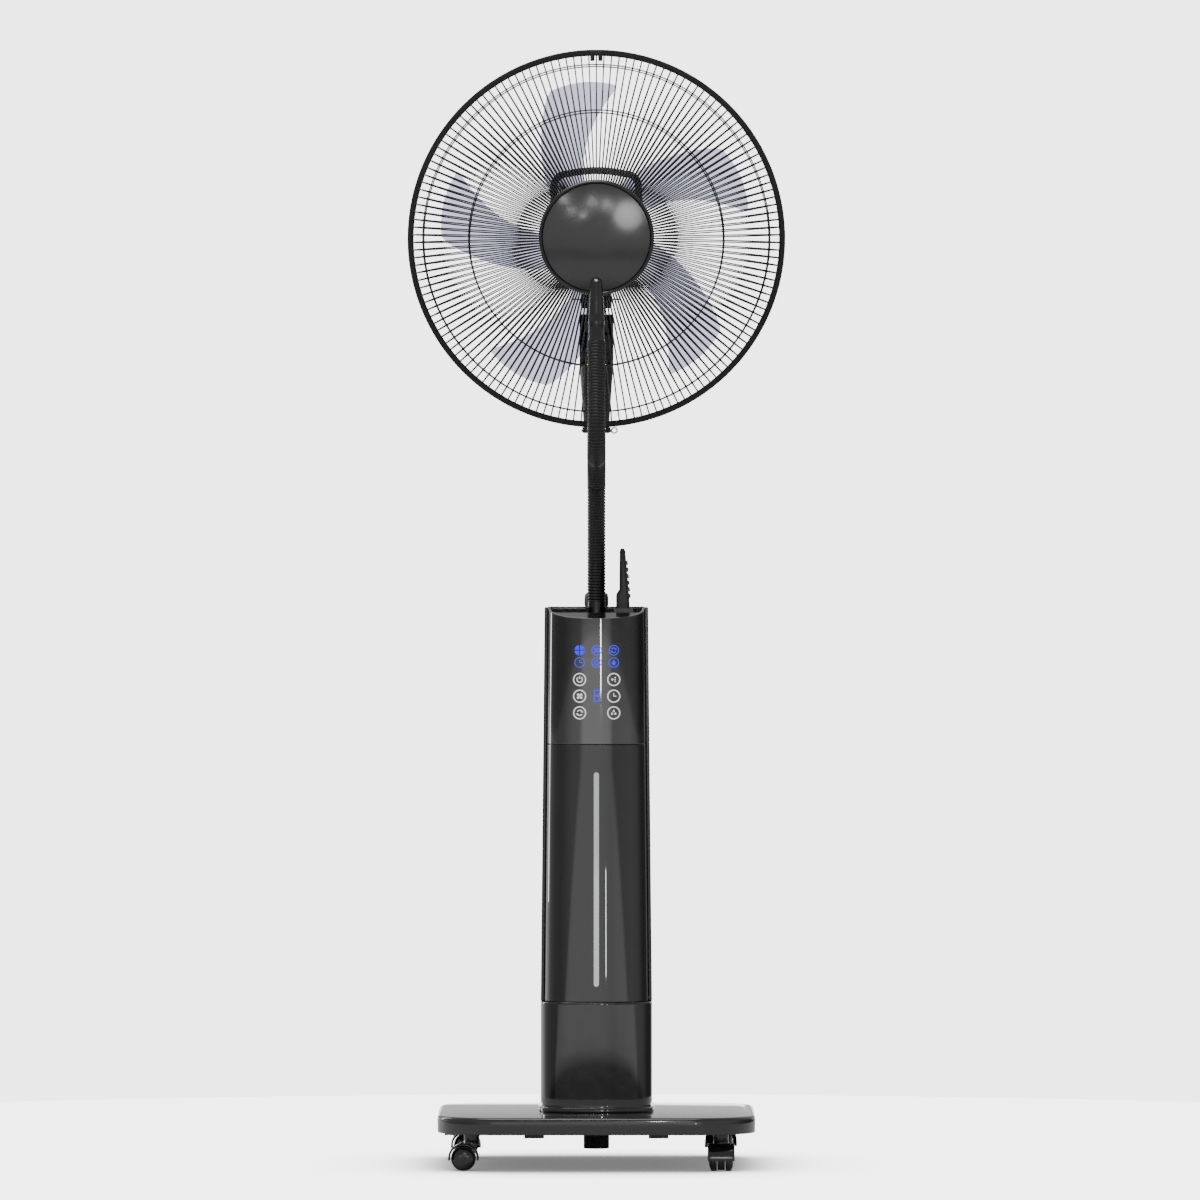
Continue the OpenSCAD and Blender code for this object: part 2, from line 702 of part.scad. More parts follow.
// ---- Remote control ----
module key_frame() {
  translate([remote_face_x, remote_y, remote_face_z]) rotate([0, -key_tilt, 0]) children();
}

module remote_body() color([0.03, 0.03, 0.03]) {
  difference() {
    translate([0, remote_y + remote_w / 2, 0]) rotate([90, 0, 0]) linear_extrude(remote_w)
      polygon([[23, remote_bottom + 3], [26, remote_bottom], [36, remote_bottom], [39, remote_bottom + 3],
        [39, 650], [33.4, 717.5], [31.5, 720], [28.6, 720], [27.2, 717.5], [26.8, 671], [23, 666]]);
    key_frame() {
      translate([-5.2, -6.5, key_first_z - 5.5]) cube([4, 13, 6 * key_pitch + 3]);
      for (i = [0 : 5])
        translate([-2, -5.3, key_first_z - 3.1 + i * key_pitch]) cube([4, 10.6, 6.2]);
    }
  }
}

module remote_button(i) color([0.02, 0.02, 0.02]) {
  key_frame() translate([0, 0, key_first_z + i * key_pitch]) {
    translate([-1.6, -5, -2.8]) cube([3.9, 10, 5.6]);
    translate([-3, -5.9, -3.3]) cube([1.5, 11.8, 6.6]);
  }
}

module remote_button_1() remote_button(0);
module remote_button_2() remote_button(1);
module remote_button_3() remote_button(2);
module remote_button_4() remote_button(3);
module remote_button_5() remote_button(4);
module remote_button_6() remote_button(5);

// ---- Casters, each made at its own stem with the wheels trailing along -X ----
module at_stem(sx, sy, turn) {
  translate([sx * caster_x, sy * caster_y, 0]) rotate([0, 0, turn]) children();
}

// Cylinder along the axle of a caster, centred on it
module y_rod(r, w, x, z) {
  translate([x, w / 2, z]) rotate([90, 0, 0]) cylinder(r = r, h = w);
}

module caster_body(braked) color([0.1, 0.1, 0.105]) {
  difference() {
    union() {
      difference() {
        y_rod(hood_r, 31, -trail, wheel_r);
        y_rod(wheel_r + 0.9, 40, -trail, wheel_r);
        translate([-50, -30, -20]) cube([100, 60, wheel_r + 18]);
        if (braked) translate([-40, -8.3, 0]) cube([40 - trail - 8, 16.6, 50]);
      }
      y_rod(wheel_r - 1, 8.6, -trail, wheel_r);
      translate([-trail - 4.3, -4.3, wheel_r]) cube([9, 8.6, hood_r - 1]);
      translate([0, 0, hood_r + 9]) cylinder(r = 9, h = base_bottom - hood_r - 9 - 0.2);
      translate([0, 0, base_bottom - 2]) cylinder(r = 4, h = 17);
      if (braked) y_rod(2.8, 22.8, lever_x, lever_z);
    }
    y_rod(axle_r + run, 60, -trail, wheel_r);
    for (s = [-1, 1])
      translate([0, s * 9.85, 0]) y_rod(wheel_r + 0.7, 10.7, -trail, wheel_r);
    if (braked) {
      y_rod(1.25, 30, lever_x, lever_z);
      y_rod(3.3, 16.6, lever_x, lever_z);
    }
  }
}

module caster_wheels() color([0.05, 0.05, 0.05]) {
  y_rod(axle_r, 30, -trail, wheel_r);
  for (s = [-1, 1])
    translate([0, s * 10, 0]) difference() {
      y_rod(wheel_r, 10, -trail, wheel_r);
      translate([0, s * 4.5, 0]) y_rod(wheel_r - 3.5, 4, -trail, wheel_r);
    }
}

module brake_lever() color([0.08, 0.08, 0.085]) {
  y_rod(1.2, 22.4, lever_x, lever_z);
  y_rod(2.4, 15.8, lever_x, lever_z);
  translate([lever_x - 13, -7.9, lever_z - 0.6]) cube([13, 15.8, 3]);
}

module caster_front_left() at_stem(-1, -1, 0) caster_body(false);
module caster_front_right() at_stem(1, -1, 90) caster_body(false);
module caster_rear_left() at_stem(-1, 1, 0) caster_body(true);
module caster_rear_right() at_stem(1, 1, 255) caster_body(true);
module wheels_front_left() at_stem(-1, -1, 0) caster_wheels();
module wheels_front_right() at_stem(1, -1, 90) caster_wheels();
module wheels_rear_left() at_stem(-1, 1, 0) caster_wheels();
module wheels_rear_right() at_stem(1, 1, 255) caster_wheels();
module brake_lever_left() at_stem(-1, 1, 0) brake_lever();
module brake_lever_right() at_stem(1, 1, 255) brake_lever();

base_plate();
base_underplate();
base_nut();
lower_housing();
column_shell();
control_panel();
display_board();
top_tray();
nebulizer_basin();
mist_duct();
blower_housing();
blower_impeller();
pole_outer_tube();
remote_dock();
cord_inlet();
column_screws();
mist_hose();
water_tank();
tank_front();
level_window();
tank_valve();
inner_pole();
neck_socket();
height_collar();
tilt_bracket();
tilt_bolt();
motor_housing();
motor_front_bell();
stator();
motor_bearings();
swing_base();
swing_motor();
rear_guard();
front_guard();
guard_hoop();
guard_clips();
badge_disc();
carry_handle();
mist_nozzle();
fan_blades();
motor_shaft();
rotor_core();
spinner_nut();
remote_body();
remote_button_1();
remote_button_2();
remote_button_3();
remote_button_4();
remote_button_5();
remote_button_6();
caster_front_left();
caster_front_right();
caster_rear_left();
caster_rear_right();
wheels_front_left();
wheels_front_right();
wheels_rear_left();
wheels_rear_right();
brake_lever_left();
brake_lever_right();
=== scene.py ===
"""Looks of the misting pedestal fan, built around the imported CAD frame.

Shapes are in millimetres, as make() and box() turn them to and from the frame's metres. The front is
towards -Y. Lights, the camera and the ends of the hose's bends are in metres.
"""
import math

import bmesh
import bpy
from mathutils import Matrix, Vector


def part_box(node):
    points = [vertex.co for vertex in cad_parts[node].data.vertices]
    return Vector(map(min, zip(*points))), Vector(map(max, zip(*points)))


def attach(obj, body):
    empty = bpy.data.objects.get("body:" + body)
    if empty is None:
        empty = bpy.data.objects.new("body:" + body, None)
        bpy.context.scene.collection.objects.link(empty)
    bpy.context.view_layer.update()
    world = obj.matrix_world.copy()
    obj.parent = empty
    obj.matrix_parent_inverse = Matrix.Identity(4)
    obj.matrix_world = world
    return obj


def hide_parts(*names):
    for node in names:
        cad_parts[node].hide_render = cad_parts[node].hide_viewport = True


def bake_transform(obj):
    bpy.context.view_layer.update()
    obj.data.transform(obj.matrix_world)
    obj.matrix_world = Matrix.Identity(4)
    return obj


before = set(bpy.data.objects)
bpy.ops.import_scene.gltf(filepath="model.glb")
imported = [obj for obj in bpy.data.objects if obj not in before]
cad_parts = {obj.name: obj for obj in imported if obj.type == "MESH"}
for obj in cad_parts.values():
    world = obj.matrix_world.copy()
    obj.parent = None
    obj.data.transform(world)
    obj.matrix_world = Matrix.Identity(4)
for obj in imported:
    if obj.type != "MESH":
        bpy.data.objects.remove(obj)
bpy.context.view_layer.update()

MM = 0.001
TAU = 2 * math.pi


def box(node):
    """Two corners of a CAD node, in millimetres."""
    lo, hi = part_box(node)
    return Vector(lo) / MM, Vector(hi) / MM


# ---------------------------------------------------------------- places taken from the frame
HOOP_LO, HOOP_HI = box("guard_hoop")
GUARD_R = (HOOP_HI.x - HOOP_LO.x) / 2
HEAD_Z = (HOOP_HI.z + HOOP_LO.z) / 2
HOOP_Y = (HOOP_HI.y + HOOP_LO.y) / 2
FRONT_Y = box("front_guard")[0].y
REAR_Y = box("rear_guard")[1].y
ROTOR_Y = (box("fan_blades")[0].y + box("fan_blades")[1].y) / 2
POLE_Y = (box("inner_pole")[0].y + box("inner_pole")[1].y) / 2
COL_LO, COL_HI = box("column_shell")
LOWER_LO, LOWER_HI = box("lower_housing")
PANEL_LO, PANEL_HI = box("control_panel")
BASE_LO, BASE_HI = box("base_plate")


# ---------------------------------------------------------------- node materials
def new_material(name):
    mat = bpy.data.materials.new(name)
    mat.use_nodes = True
    return mat, mat.node_tree, mat.node_tree.nodes["Principled BSDF"]


def noise(tree, coords, scale, detail=4.0, stretch=None):
    tex = tree.nodes.new("ShaderNodeTexNoise")
    tex.inputs["Scale"].default_value = scale
    tex.inputs["Detail"].default_value = detail
    if stretch:
        mapping = tree.nodes.new("ShaderNodeMapping")
        mapping.inputs["Scale"].default_value = stretch
        tree.links.new(coords, mapping.inputs["Vector"])
        coords = mapping.outputs["Vector"]
    tree.links.new(coords, tex.inputs["Vector"])
    return tex.outputs["Fac"]


def map_range(tree, value, low, high, start=0.3, end=0.7):
    node = tree.nodes.new("ShaderNodeMapRange")
    node.inputs["From Min"].default_value = start
    node.inputs["From Max"].default_value = end
    node.inputs["To Min"].default_value = low
    node.inputs["To Max"].default_value = high
    tree.links.new(value, node.inputs["Value"])
    return node.outputs["Result"]


def calc(tree, kind, a, b=0.0, c=0.0):
    """One math node; a, b and c are numbers or other nodes' outputs."""
    node = tree.nodes.new("ShaderNodeMath")
    node.operation = kind
    for slot, value in zip(node.inputs, (a, b, c)):
        if isinstance(value, (int, float)):
            slot.default_value = value
        else:
            tree.links.new(value, slot)
    return node.outputs[0]


def colour_mix(tree, factor, a, b):
    """Mixes two colours; a may be another node's output."""
    mix = tree.nodes.new("ShaderNodeMix")
    mix.data_type = "RGBA"
    if isinstance(a, list):
        mix.inputs["A"].default_value = a
    else:
        tree.links.new(a, mix.inputs["A"])
    mix.inputs["B"].default_value = b
    tree.links.new(factor, mix.inputs["Factor"])
    return mix.outputs["Result"]


def shifted(colour, times=1.0, plus=0.0):
    return [min(1, c * times + plus) for c in colour] + [1]


def surface(name, colour, rough, metallic=0.0, coat=0.0, vary=0.15, rough_vary=0.06, grain=0.0,
            grain_scale=1400.0, stretch=None, wear=0.0, alpha=1.0, transmission=0.0, ior=1.46,
            emission=None, strength=0.0, coat_rough=0.03):
    """Moulded plastic or metal: cloudy colour, smudged gloss, a fine grain and lighter edges."""
    mat, tree, bsdf = new_material(name)
    coords = tree.nodes.new("ShaderNodeTexCoord").outputs["Object"]
    cloud = map_range(tree, noise(tree, coords, 22.0), 0, 1)
    result = colour_mix(tree, cloud, shifted(colour, 1 - vary), shifted(colour, 1 + vary))
    if wear:
        edge = tree.nodes.new("ShaderNodeNewGeometry").outputs["Pointiness"]
        result = colour_mix(tree, map_range(tree, edge, 0, 0.8, 0.51, 0.6), result, shifted(colour, 1, wear))
    tree.links.new(result, bsdf.inputs["Base Color"])
    smudge = noise(tree, coords, 60.0, 6.0, stretch)
    tree.links.new(map_range(tree, smudge, max(0.01, rough - rough_vary), rough + rough_vary),
                   bsdf.inputs["Roughness"])
    if grain:
        bump = tree.nodes.new("ShaderNodeBump")
        bump.inputs["Strength"].default_value = grain
        bump.inputs["Distance"].default_value = 0.0002
        tree.links.new(noise(tree, coords, grain_scale, 2.0, stretch), bump.inputs["Height"])
        tree.links.new(bump.outputs["Normal"], bsdf.inputs["Normal"])
    bsdf.inputs["Metallic"].default_value = metallic
    bsdf.inputs["Coat Weight"].default_value = coat
    bsdf.inputs["Coat Roughness"].default_value = coat_rough
    bsdf.inputs["IOR"].default_value = ior
    bsdf.inputs["Alpha"].default_value = alpha
    bsdf.inputs["Transmission Weight"].default_value = transmission
    if emission:
        bsdf.inputs["Emission Color"].default_value = list(emission) + [1]
        bsdf.inputs["Emission Strength"].default_value = strength
    return mat


SMOKED = surface("smoked_gloss", (0.012, 0.012, 0.013), 0.025, coat=1.0, vary=0.1, rough_vary=0.012,
                 coat_rough=0.01)
RAIL_GLOSS = surface("smoked_rail", (0.022, 0.022, 0.023), 0.17, coat=0.6, vary=0.1, rough_vary=0.03,
                     coat_rough=0.12)
CASE = surface("remote_case", (0.016, 0.016, 0.016), 0.32, coat=0.25, rough_vary=0.05, coat_rough=0.2)
PANEL = surface("smoked_panel", (0.014, 0.014, 0.015), 0.035, coat=1.0, vary=0.1, rough_vary=0.015, ior=1.95,
                coat_rough=0.01)
GLOSS_BLACK = surface("gloss_black", (0.012, 0.012, 0.013), 0.14, coat=0.8, vary=0.1, rough_vary=0.04)
BASE_GLOSS = surface("base_gloss", (0.020, 0.020, 0.021), 0.13, coat=1.0, vary=0.12, rough_vary=0.04)
SATIN = surface("satin_black", (0.016, 0.016, 0.017), 0.42, vary=0.2, rough_vary=0.08, grain=0.35, wear=0.03)
MATTE = surface("matte_black", (0.013, 0.013, 0.013), 0.6, vary=0.2, rough_vary=0.1, grain=0.5, wear=0.02)
BADGE_GREY = surface("badge_grey", (0.050, 0.050, 0.051), 0.065, vary=0.06, rough_vary=0.01)
WIRE = surface("guard_wire", (0.018, 0.018, 0.019), 0.35, coat=0.3, vary=0.2, rough_vary=0.08, grain=0.2,
               grain_scale=2600.0)
HOSE = surface("hose_rubber", (0.012, 0.012, 0.0125), 0.3, vary=0.25, rough_vary=0.08, grain=0.25, wear=0.05)
STEEL = surface("plated_steel", (0.62, 0.62, 0.64), 0.28, metallic=1.0, vary=0.08, grain=0.15,
                grain_scale=500.0, stretch=(1, 1, 0.1))
TUBE = surface("dark_tube", (0.06, 0.06, 0.065), 0.25, metallic=1.0, vary=0.1, grain=0.1, grain_scale=600.0,
               stretch=(1, 1, 0.06))
LAMINATE = surface("laminated_steel", (0.35, 0.35, 0.37), 0.45, metallic=1.0, grain=0.8, grain_scale=900.0,
                   stretch=(0.05, 1, 0.05))
CAST = surface("cast_aluminium", (0.55, 0.55, 0.57), 0.5, metallic=1.0, vary=0.12, grain=0.6,
               grain_scale=800.0)
BLADE = surface("smoke_blade", (0.27, 0.27, 0.34), 0.06, vary=0.06, rough_vary=0.02, transmission=1.0,
                ior=1.06)
WHITE = surface("white_plastic", (0.75, 0.76, 0.77), 0.4, vary=0.04, rough_vary=0.08, grain=0.2)
TANK = surface("clear_tank", (0.5, 0.54, 0.58), 0.1, vary=0.05, rough_vary=0.03, alpha=0.45)
BOARD = surface("circuit_board", (0.02, 0.16, 0.06), 0.35, vary=0.3, grain=0.5, grain_scale=300.0)
KEY_GREY = surface("remote_grey", (0.33, 0.33, 0.335), 0.35, vary=0.04, rough_vary=0.05, grain=0.15)
RUBBER = surface("key_rubber", (0.010, 0.010, 0.010), 0.5, vary=0.2, rough_vary=0.1, grain=0.3)
ICON_WHITE = surface("icon_white", (0.8, 0.8, 0.8), 0.4, vary=0.03, emission=(0.9, 0.9, 0.9), strength=0.75)
ICON_BLUE = surface("icon_blue", (0.04, 0.03, 0.9), 0.4, vary=0.03, emission=(0.028, 0.016, 1.0),
                    strength=1.1)
CLEAR_RING = surface("clear_washer", (0.72, 0.73, 0.75), 0.25, vary=0.05, alpha=0.7)


def window_material():
    """Frosted level window: pale, brighter below the water line, and given a faint painted glow by emission.
    """
    mat, tree, bsdf = new_material("level_window")
    coords = tree.nodes.new("ShaderNodeTexCoord").outputs["Object"]
    split = tree.nodes.new("ShaderNodeSeparateXYZ")
    tree.links.new(coords, split.inputs["Vector"])
    lo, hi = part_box("level_window")
    ramp = tree.nodes.new("ShaderNodeValToRGB")
    for stop, place, colour in zip(ramp.color_ramp.elements, (0.50, 0.62), ((0.78, 0.79, 0.79, 1),
                                                                           (0.52, 0.53, 0.53, 1))):
        stop.position = place
        stop.color = colour
    tree.links.new(map_range(tree, split.outputs["Z"], 0, 1, lo.z, hi.z), ramp.inputs["Fac"])
    tree.links.new(ramp.outputs["Color"], bsdf.inputs["Base Color"])
    tree.links.new(map_range(tree, noise(tree, coords, 300.0), 0.35, 0.55), bsdf.inputs["Roughness"])
    # Painted glow: a little emission makes the window read brighter than its lighting alone.
    bsdf.inputs["Emission Color"].default_value = (0.8, 0.82, 0.84, 1)
    bsdf.inputs["Emission Strength"].default_value = 0.35
    return mat


WINDOW = window_material()


# ---------------------------------------------------------------- mesh helpers
def link(name, data):
    obj = bpy.data.objects.new(name, data)
    bpy.context.scene.collection.objects.link(obj)
    return obj


def make(name, verts, faces, material, smooth=True, angle=35):
    """A mesh object from points in millimetres."""
    mesh = bpy.data.meshes.new(name)
    mesh.from_pydata([tuple(c * MM for c in v) for v in verts], [], faces)
    mesh.validate()
    bm = bmesh.new()
    bm.from_mesh(mesh)
    bmesh.ops.recalc_face_normals(bm, faces=bm.faces)
    bm.to_mesh(mesh)
    bm.free()
    obj = link(name, mesh)
    mesh.materials.append(material)
    if smooth:
        soften(obj, angle)
    return obj


def soften(obj, angle=35):
    for p in obj.data.polygons:
        p.use_smooth = True
    obj.data.set_sharp_from_angle(angle=math.radians(angle))


def bevel(obj, width, segments=3, angle=30):
    mod = obj.modifiers.new("bevel", "BEVEL")
    mod.width = width * MM
    mod.segments = segments
    mod.limit_method = "ANGLE"
    mod.angle_limit = math.radians(angle)
    mod.harden_normals = True
    return obj


def apply_modifiers(obj):
    bpy.context.view_layer.update()
    graph = bpy.context.evaluated_depsgraph_get()
    mesh = bpy.data.meshes.new_from_object(obj.evaluated_get(graph))
    obj.modifiers.clear()
    obj.data = mesh


def carve(obj, tool):
    """Cuts a tool out of an object and shades what is left."""
    cut = obj.modifiers.new("cut", "BOOLEAN")
    cut.operation = "DIFFERENCE"
    cut.object = tool
    cut.solver = "EXACT"
    apply_modifiers(obj)
    bpy.data.objects.remove(tool)
    soften(obj, 32)


def move(obj, matrix):
    """Moves a mesh by a matrix in millimetres."""
    obj.data.transform(Matrix.Scale(MM, 4) @ matrix @ Matrix.Scale(1 / MM, 4))


def join(name, parts):
    """One object out of several, each part keeping its own material."""
    verts, faces, mats, face_mats, smooth = [], [], [], [], []
    for part in parts:
        if part.modifiers:
            apply_modifiers(part)
        base = len(verts)
        slot_map = []
        for m in part.data.materials:
            if m not in mats:
                mats.append(m)
            slot_map.append(mats.index(m))
        verts += [part.matrix_world @ v.co for v in part.data.vertices]
        for p in part.data.polygons:
            faces.append([base + i for i in p.vertices])
            face_mats.append(slot_map[p.material_index] if slot_map else 0)
            smooth.append(p.use_smooth)
    mesh = bpy.data.meshes.new(name)
    mesh.from_pydata([tuple(v) for v in verts], [], faces)
    for m in mats:
        mesh.materials.append(m)
    for p, m, s in zip(mesh.polygons, face_mats, smooth):
        p.material_index = m
        p.use_smooth = s
    mesh.set_sharp_from_angle(angle=math.radians(38))
    for part in parts:
        bpy.data.objects.remove(part)
    return link(name, mesh)


def skin(rows, n, base=0):
    """Faces between pairs of rows of n points."""
    faces = []
    for i, j in rows:
        for k in range(n):
            m = (k + 1) % n
            faces.append([base + i * n + k, base + i * n + m, base + j * n + m, base + j * n + k])
    return faces


def ring_loft(name, rings, material, closed=False, caps=True, smooth=True, angle=35):
    """Skin through rings of points; closed joins the last ring back to the first."""
    n = len(rings[0])
    count = len(rings)
    verts = [p for ring in rings for p in ring]
    faces = skin([(i, (i + 1) % count) for i in range(count if closed else count - 1)], n)
    if caps and not closed:
        faces.append(list(range(n))[::-1])
        faces.append([(count - 1) * n + k for k in range(n)])
    return make(name, verts, faces, material, smooth, angle)


def lathe(name, profile, material, centre=(0, 0, 0), axis="Y", segments=96, closed=False, angle=35):
    """Revolves (radius, height) points about an axis; radius 0 closes an end."""
    verts, faces, rows = [], [], []
    for r, h in profile:
        if r == 0:
            rows.append([len(verts)])
            verts.append((0, 0, h))
        else:
            rows.append(list(range(len(verts), len(verts) + segments)))
            verts += [(x, y, h) for x, y in circle(r, segments)]
    pairs = list(zip(rows, rows[1:]))
    if closed:
        pairs.append((rows[-1], rows[0]))
    for a, b in pairs:
        for k in range(segments):
            m = (k + 1) % segments
            if len(a) == 1 and len(b) == 1:
                continue
            if len(a) == 1:
                faces.append([a[0], b[m], b[k]])
            elif len(b) == 1:
                faces.append([a[k], a[m], b[0]])
            else:
                faces.append([a[k], a[m], b[m], b[k]])
    turn = {"Z": Matrix.Identity(3), "Y": Matrix.Rotation(-math.pi / 2, 3, "X"),
            "X": Matrix.Rotation(math.pi / 2, 3, "Y")}[axis]
    return make(name, [turn @ Vector(v) + Vector(centre) for v in verts], faces, material, True, angle)


def sweep(name, path, section, material, caps=True, angle=35, up=(0, 0, 1)):
    """Carries a 2D section along 3D points, square to up; section gives the shape at each step."""
    path = [Vector(p) for p in path]
    rings = []
    for i, p in enumerate(path):
        tangent = (path[min(i + 1, len(path) - 1)] - path[max(i - 1, 0)]).normalized()
        side = tangent.cross(Vector(up)).normalized()
        other = tangent.cross(side)
        rings.append([p + side * a + other * b for a, b in section(i)])
    return ring_loft(name, rings, material, caps=caps, angle=angle)


def circle(r, sides=12):
    return [(r * math.cos(TAU * k / sides), r * math.sin(TAU * k / sides)) for k in range(sides)]


def arc(cx, cy, r, a0=0, a1=360, steps=32, ry=None):
    """Points from angle a0 to a1 in degrees; ry is the second radius of an oval."""
    turns = [math.radians(a0 + (a1 - a0) * k / steps) for k in range(steps + 1)]
    return [(cx + r * math.cos(t), cy + (ry or r) * math.sin(t)) for t in turns]


def rounded_rect(w, h, r, steps=4):
    """Corner points of a rounded rectangle, anticlockwise, centred on the origin."""
    points = []
    for cx, cy, start in ((1, 1, 0), (-1, 1, 90), (-1, -1, 180), (1, -1, 270)):
        points += arc(cx * (w / 2 - r), cy * (h / 2 - r), r, start, start + 90, steps)
    return points


def block(name, lo, hi, material, radius=0.8, segments=3):
    """Box between two corners with rounded edges."""
    verts = [(x, y, z) for x in (lo[0], hi[0]) for y in (lo[1], hi[1]) for z in (lo[2], hi[2])]
    faces = [[0, 1, 3, 2], [4, 6, 7, 5], [0, 4, 5, 1], [2, 3, 7, 6], [0, 2, 6, 4], [1, 5, 7, 3]]
    return bevel(make(name, verts, faces, material), radius, segments)


def put(obj, body, slot, *nodes):
    """Rides on a body and hides the CAD nodes that it stands for; slot is not used."""
    if obj.modifiers:
        apply_modifiers(obj)
    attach(obj, body)
    if nodes:
        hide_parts(*nodes)


def dress(material, *nodes):
    """CAD nodes keep their mesh and get a finish and soft shading."""
    for node in nodes:
        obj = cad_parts[node]
        obj.data.materials.clear()
        obj.data.materials.append(material)
        soften(obj, 30)


# ---------------------------------------------------------------- camera, light and floor
CAMERA_DISTANCE = 14.7
CAMERA_Z = 0.83
FRAME_WIDTH = 1.4025
AIM_Z = 0.6595
AIM_X = 0.0042
SENSOR = 36
BACKDROP = 4.8
FLOOR_R = 1600
# Place from behind, past the left, the camera's side at the middle and the right, to behind; brightness
BANDS = ((0.0, 0.8), (0.06, 0.85), (0.10, 0.9), (0.15, 0.9), (0.19, 0.48), (0.27, 0.36), (0.33, 0.36),
         (0.37, 0.5), (0.41, 0.68), (0.44, 0.70), (0.5, 0.68), (0.54, 0.5), (0.56, 0.62), (0.63, 0.68),
         (0.67, 0.70), (0.73, 0.55), (0.79, 0.2), (0.82, 0.1), (0.90, 0.06), (0.95, 0.5), (1.0, 0.8))
# X, Z, size and power for each square metre of size
BADGE_SPOTS = ((-0.31, 1.55, 0.07, 42), (-0.24, 1.44, 0.06, 42), (-0.04, 1.52, 0.08, 42),
               (0.1, 1.5, 0.08, 42), (-0.13, 1.4, 0.06, 42), (0.3, 1.4, 0.26, 32))


def floor_material():
    """Pale floor that glows to the eye at the backdrop's white, with a painted shadow darkening the glow
    where something stands close over it; other rays meet a plain diffuse floor.
    """
    mat, tree, bsdf = new_material("pale_floor")
    coords = tree.nodes.new("ShaderNodeTexCoord").outputs["Object"]
    bsdf.inputs["Base Color"].default_value = (0.8, 0.8, 0.8, 1)
    tree.links.new(map_range(tree, noise(tree, coords, 3.0), 0.7, 0.8), bsdf.inputs["Roughness"])
    bsdf.inputs["Specular IOR Level"].default_value = 0.1
    # Painted contact shadow: ambient occlusion darkens the floor's glow under the stand and casters.
    painted_shadow_ao = tree.nodes.new("ShaderNodeAmbientOcclusion")
    painted_shadow_ao.inputs["Distance"].default_value = 0.16
    painted_shadow_ao.samples = 8
    shade = calc(tree, "POWER", painted_shadow_ao.outputs["AO"], 2.6)
    glow = tree.nodes.new("ShaderNodeEmission")
    tree.links.new(map_range(tree, shade, 0.2, BACKDROP, 0, 1), glow.inputs["Strength"])
    mix = tree.nodes.new("ShaderNodeMixShader")
    tree.links.new(tree.nodes.new("ShaderNodeLightPath").outputs["Is Camera Ray"], mix.inputs["Fac"])
    tree.links.new(bsdf.outputs["BSDF"], mix.inputs[1])
    tree.links.new(glow.outputs["Emission"], mix.inputs[2])
    tree.links.new(mix.outputs["Shader"], tree.nodes["Material Output"].inputs["Surface"])
    return mat


def build_camera():
    """Long lens straight ahead."""
    cam = bpy.data.cameras.new("camera")
    cam.sensor_width = SENSOR
    cam.lens = SENSOR * CAMERA_DISTANCE / FRAME_WIDTH
    cam.clip_end = 60
    obj = link("camera", cam)
    obj.location = (AIM_X, -CAMERA_DISTANCE, CAMERA_Z)
    pitch = math.atan2(CAMERA_Z - AIM_Z, CAMERA_DISTANCE)
    obj.rotation_euler = (math.pi / 2 - pitch, 0, 0)
    bpy.context.scene.camera = obj


def area(name, place, size, power, target, shape="RECTANGLE"):
    light = bpy.data.lights.new(name, "AREA")
    light.shape = shape
    light.size, light.size_y = size
    light.energy = power
    lamp = link(name, light)
    lamp.location = place
    lamp.rotation_euler = (Vector(target) - Vector(place)).to_track_quat("-Z", "Y").to_euler()


def studio():
    """Pale floor and soft lights in a studio that is bright behind and banded in front."""
    rings = [[(x, y, z) for x, y in circle(FLOOR_R, 96)] for z in (0, -20)]
    ring_loft("floor", rings, floor_material(), smooth=False)
    studio_world()
    area("top_softbox", (-0.6, -0.8, 3.6), (2.4, 1.6), 42, (0, 0, 0.4))
    area("left_rim", (-2.4, 2.0, 1.3), (0.35, 2.2), 16, (0, 0, 0.8))
    area("panel_strip", (0.19, -4.2, 0.53), (0.045, 0.11), 0.5, (0, 0, 0.6))
    area("tank_strip", (0.52, -4.2, 0.13), (0.045, 0.16), 0.6, (0, 0, 0.3))
    for x, z, size, power in BADGE_SPOTS:
        area("badge_spot", (x, -6.1, z), (size, size), power * size * size, (0, 0, 1.08), "ELLIPSE")


def band_ramp(tree, angle):
    """Brightness round the studio by angle."""
    ramp = tree.nodes.new("ShaderNodeValToRGB")
    stops = ramp.color_ramp.elements
    stops.remove(stops[1])
    for i, (place, level) in enumerate(BANDS):
        stop = stops.new(place) if i else stops[0]
        stop.color = (level, level, level, 1)
    tree.links.new(map_range(tree, angle, 0, 1, -math.pi, math.pi), ramp.inputs["Fac"])
    return ramp.outputs["Color"]


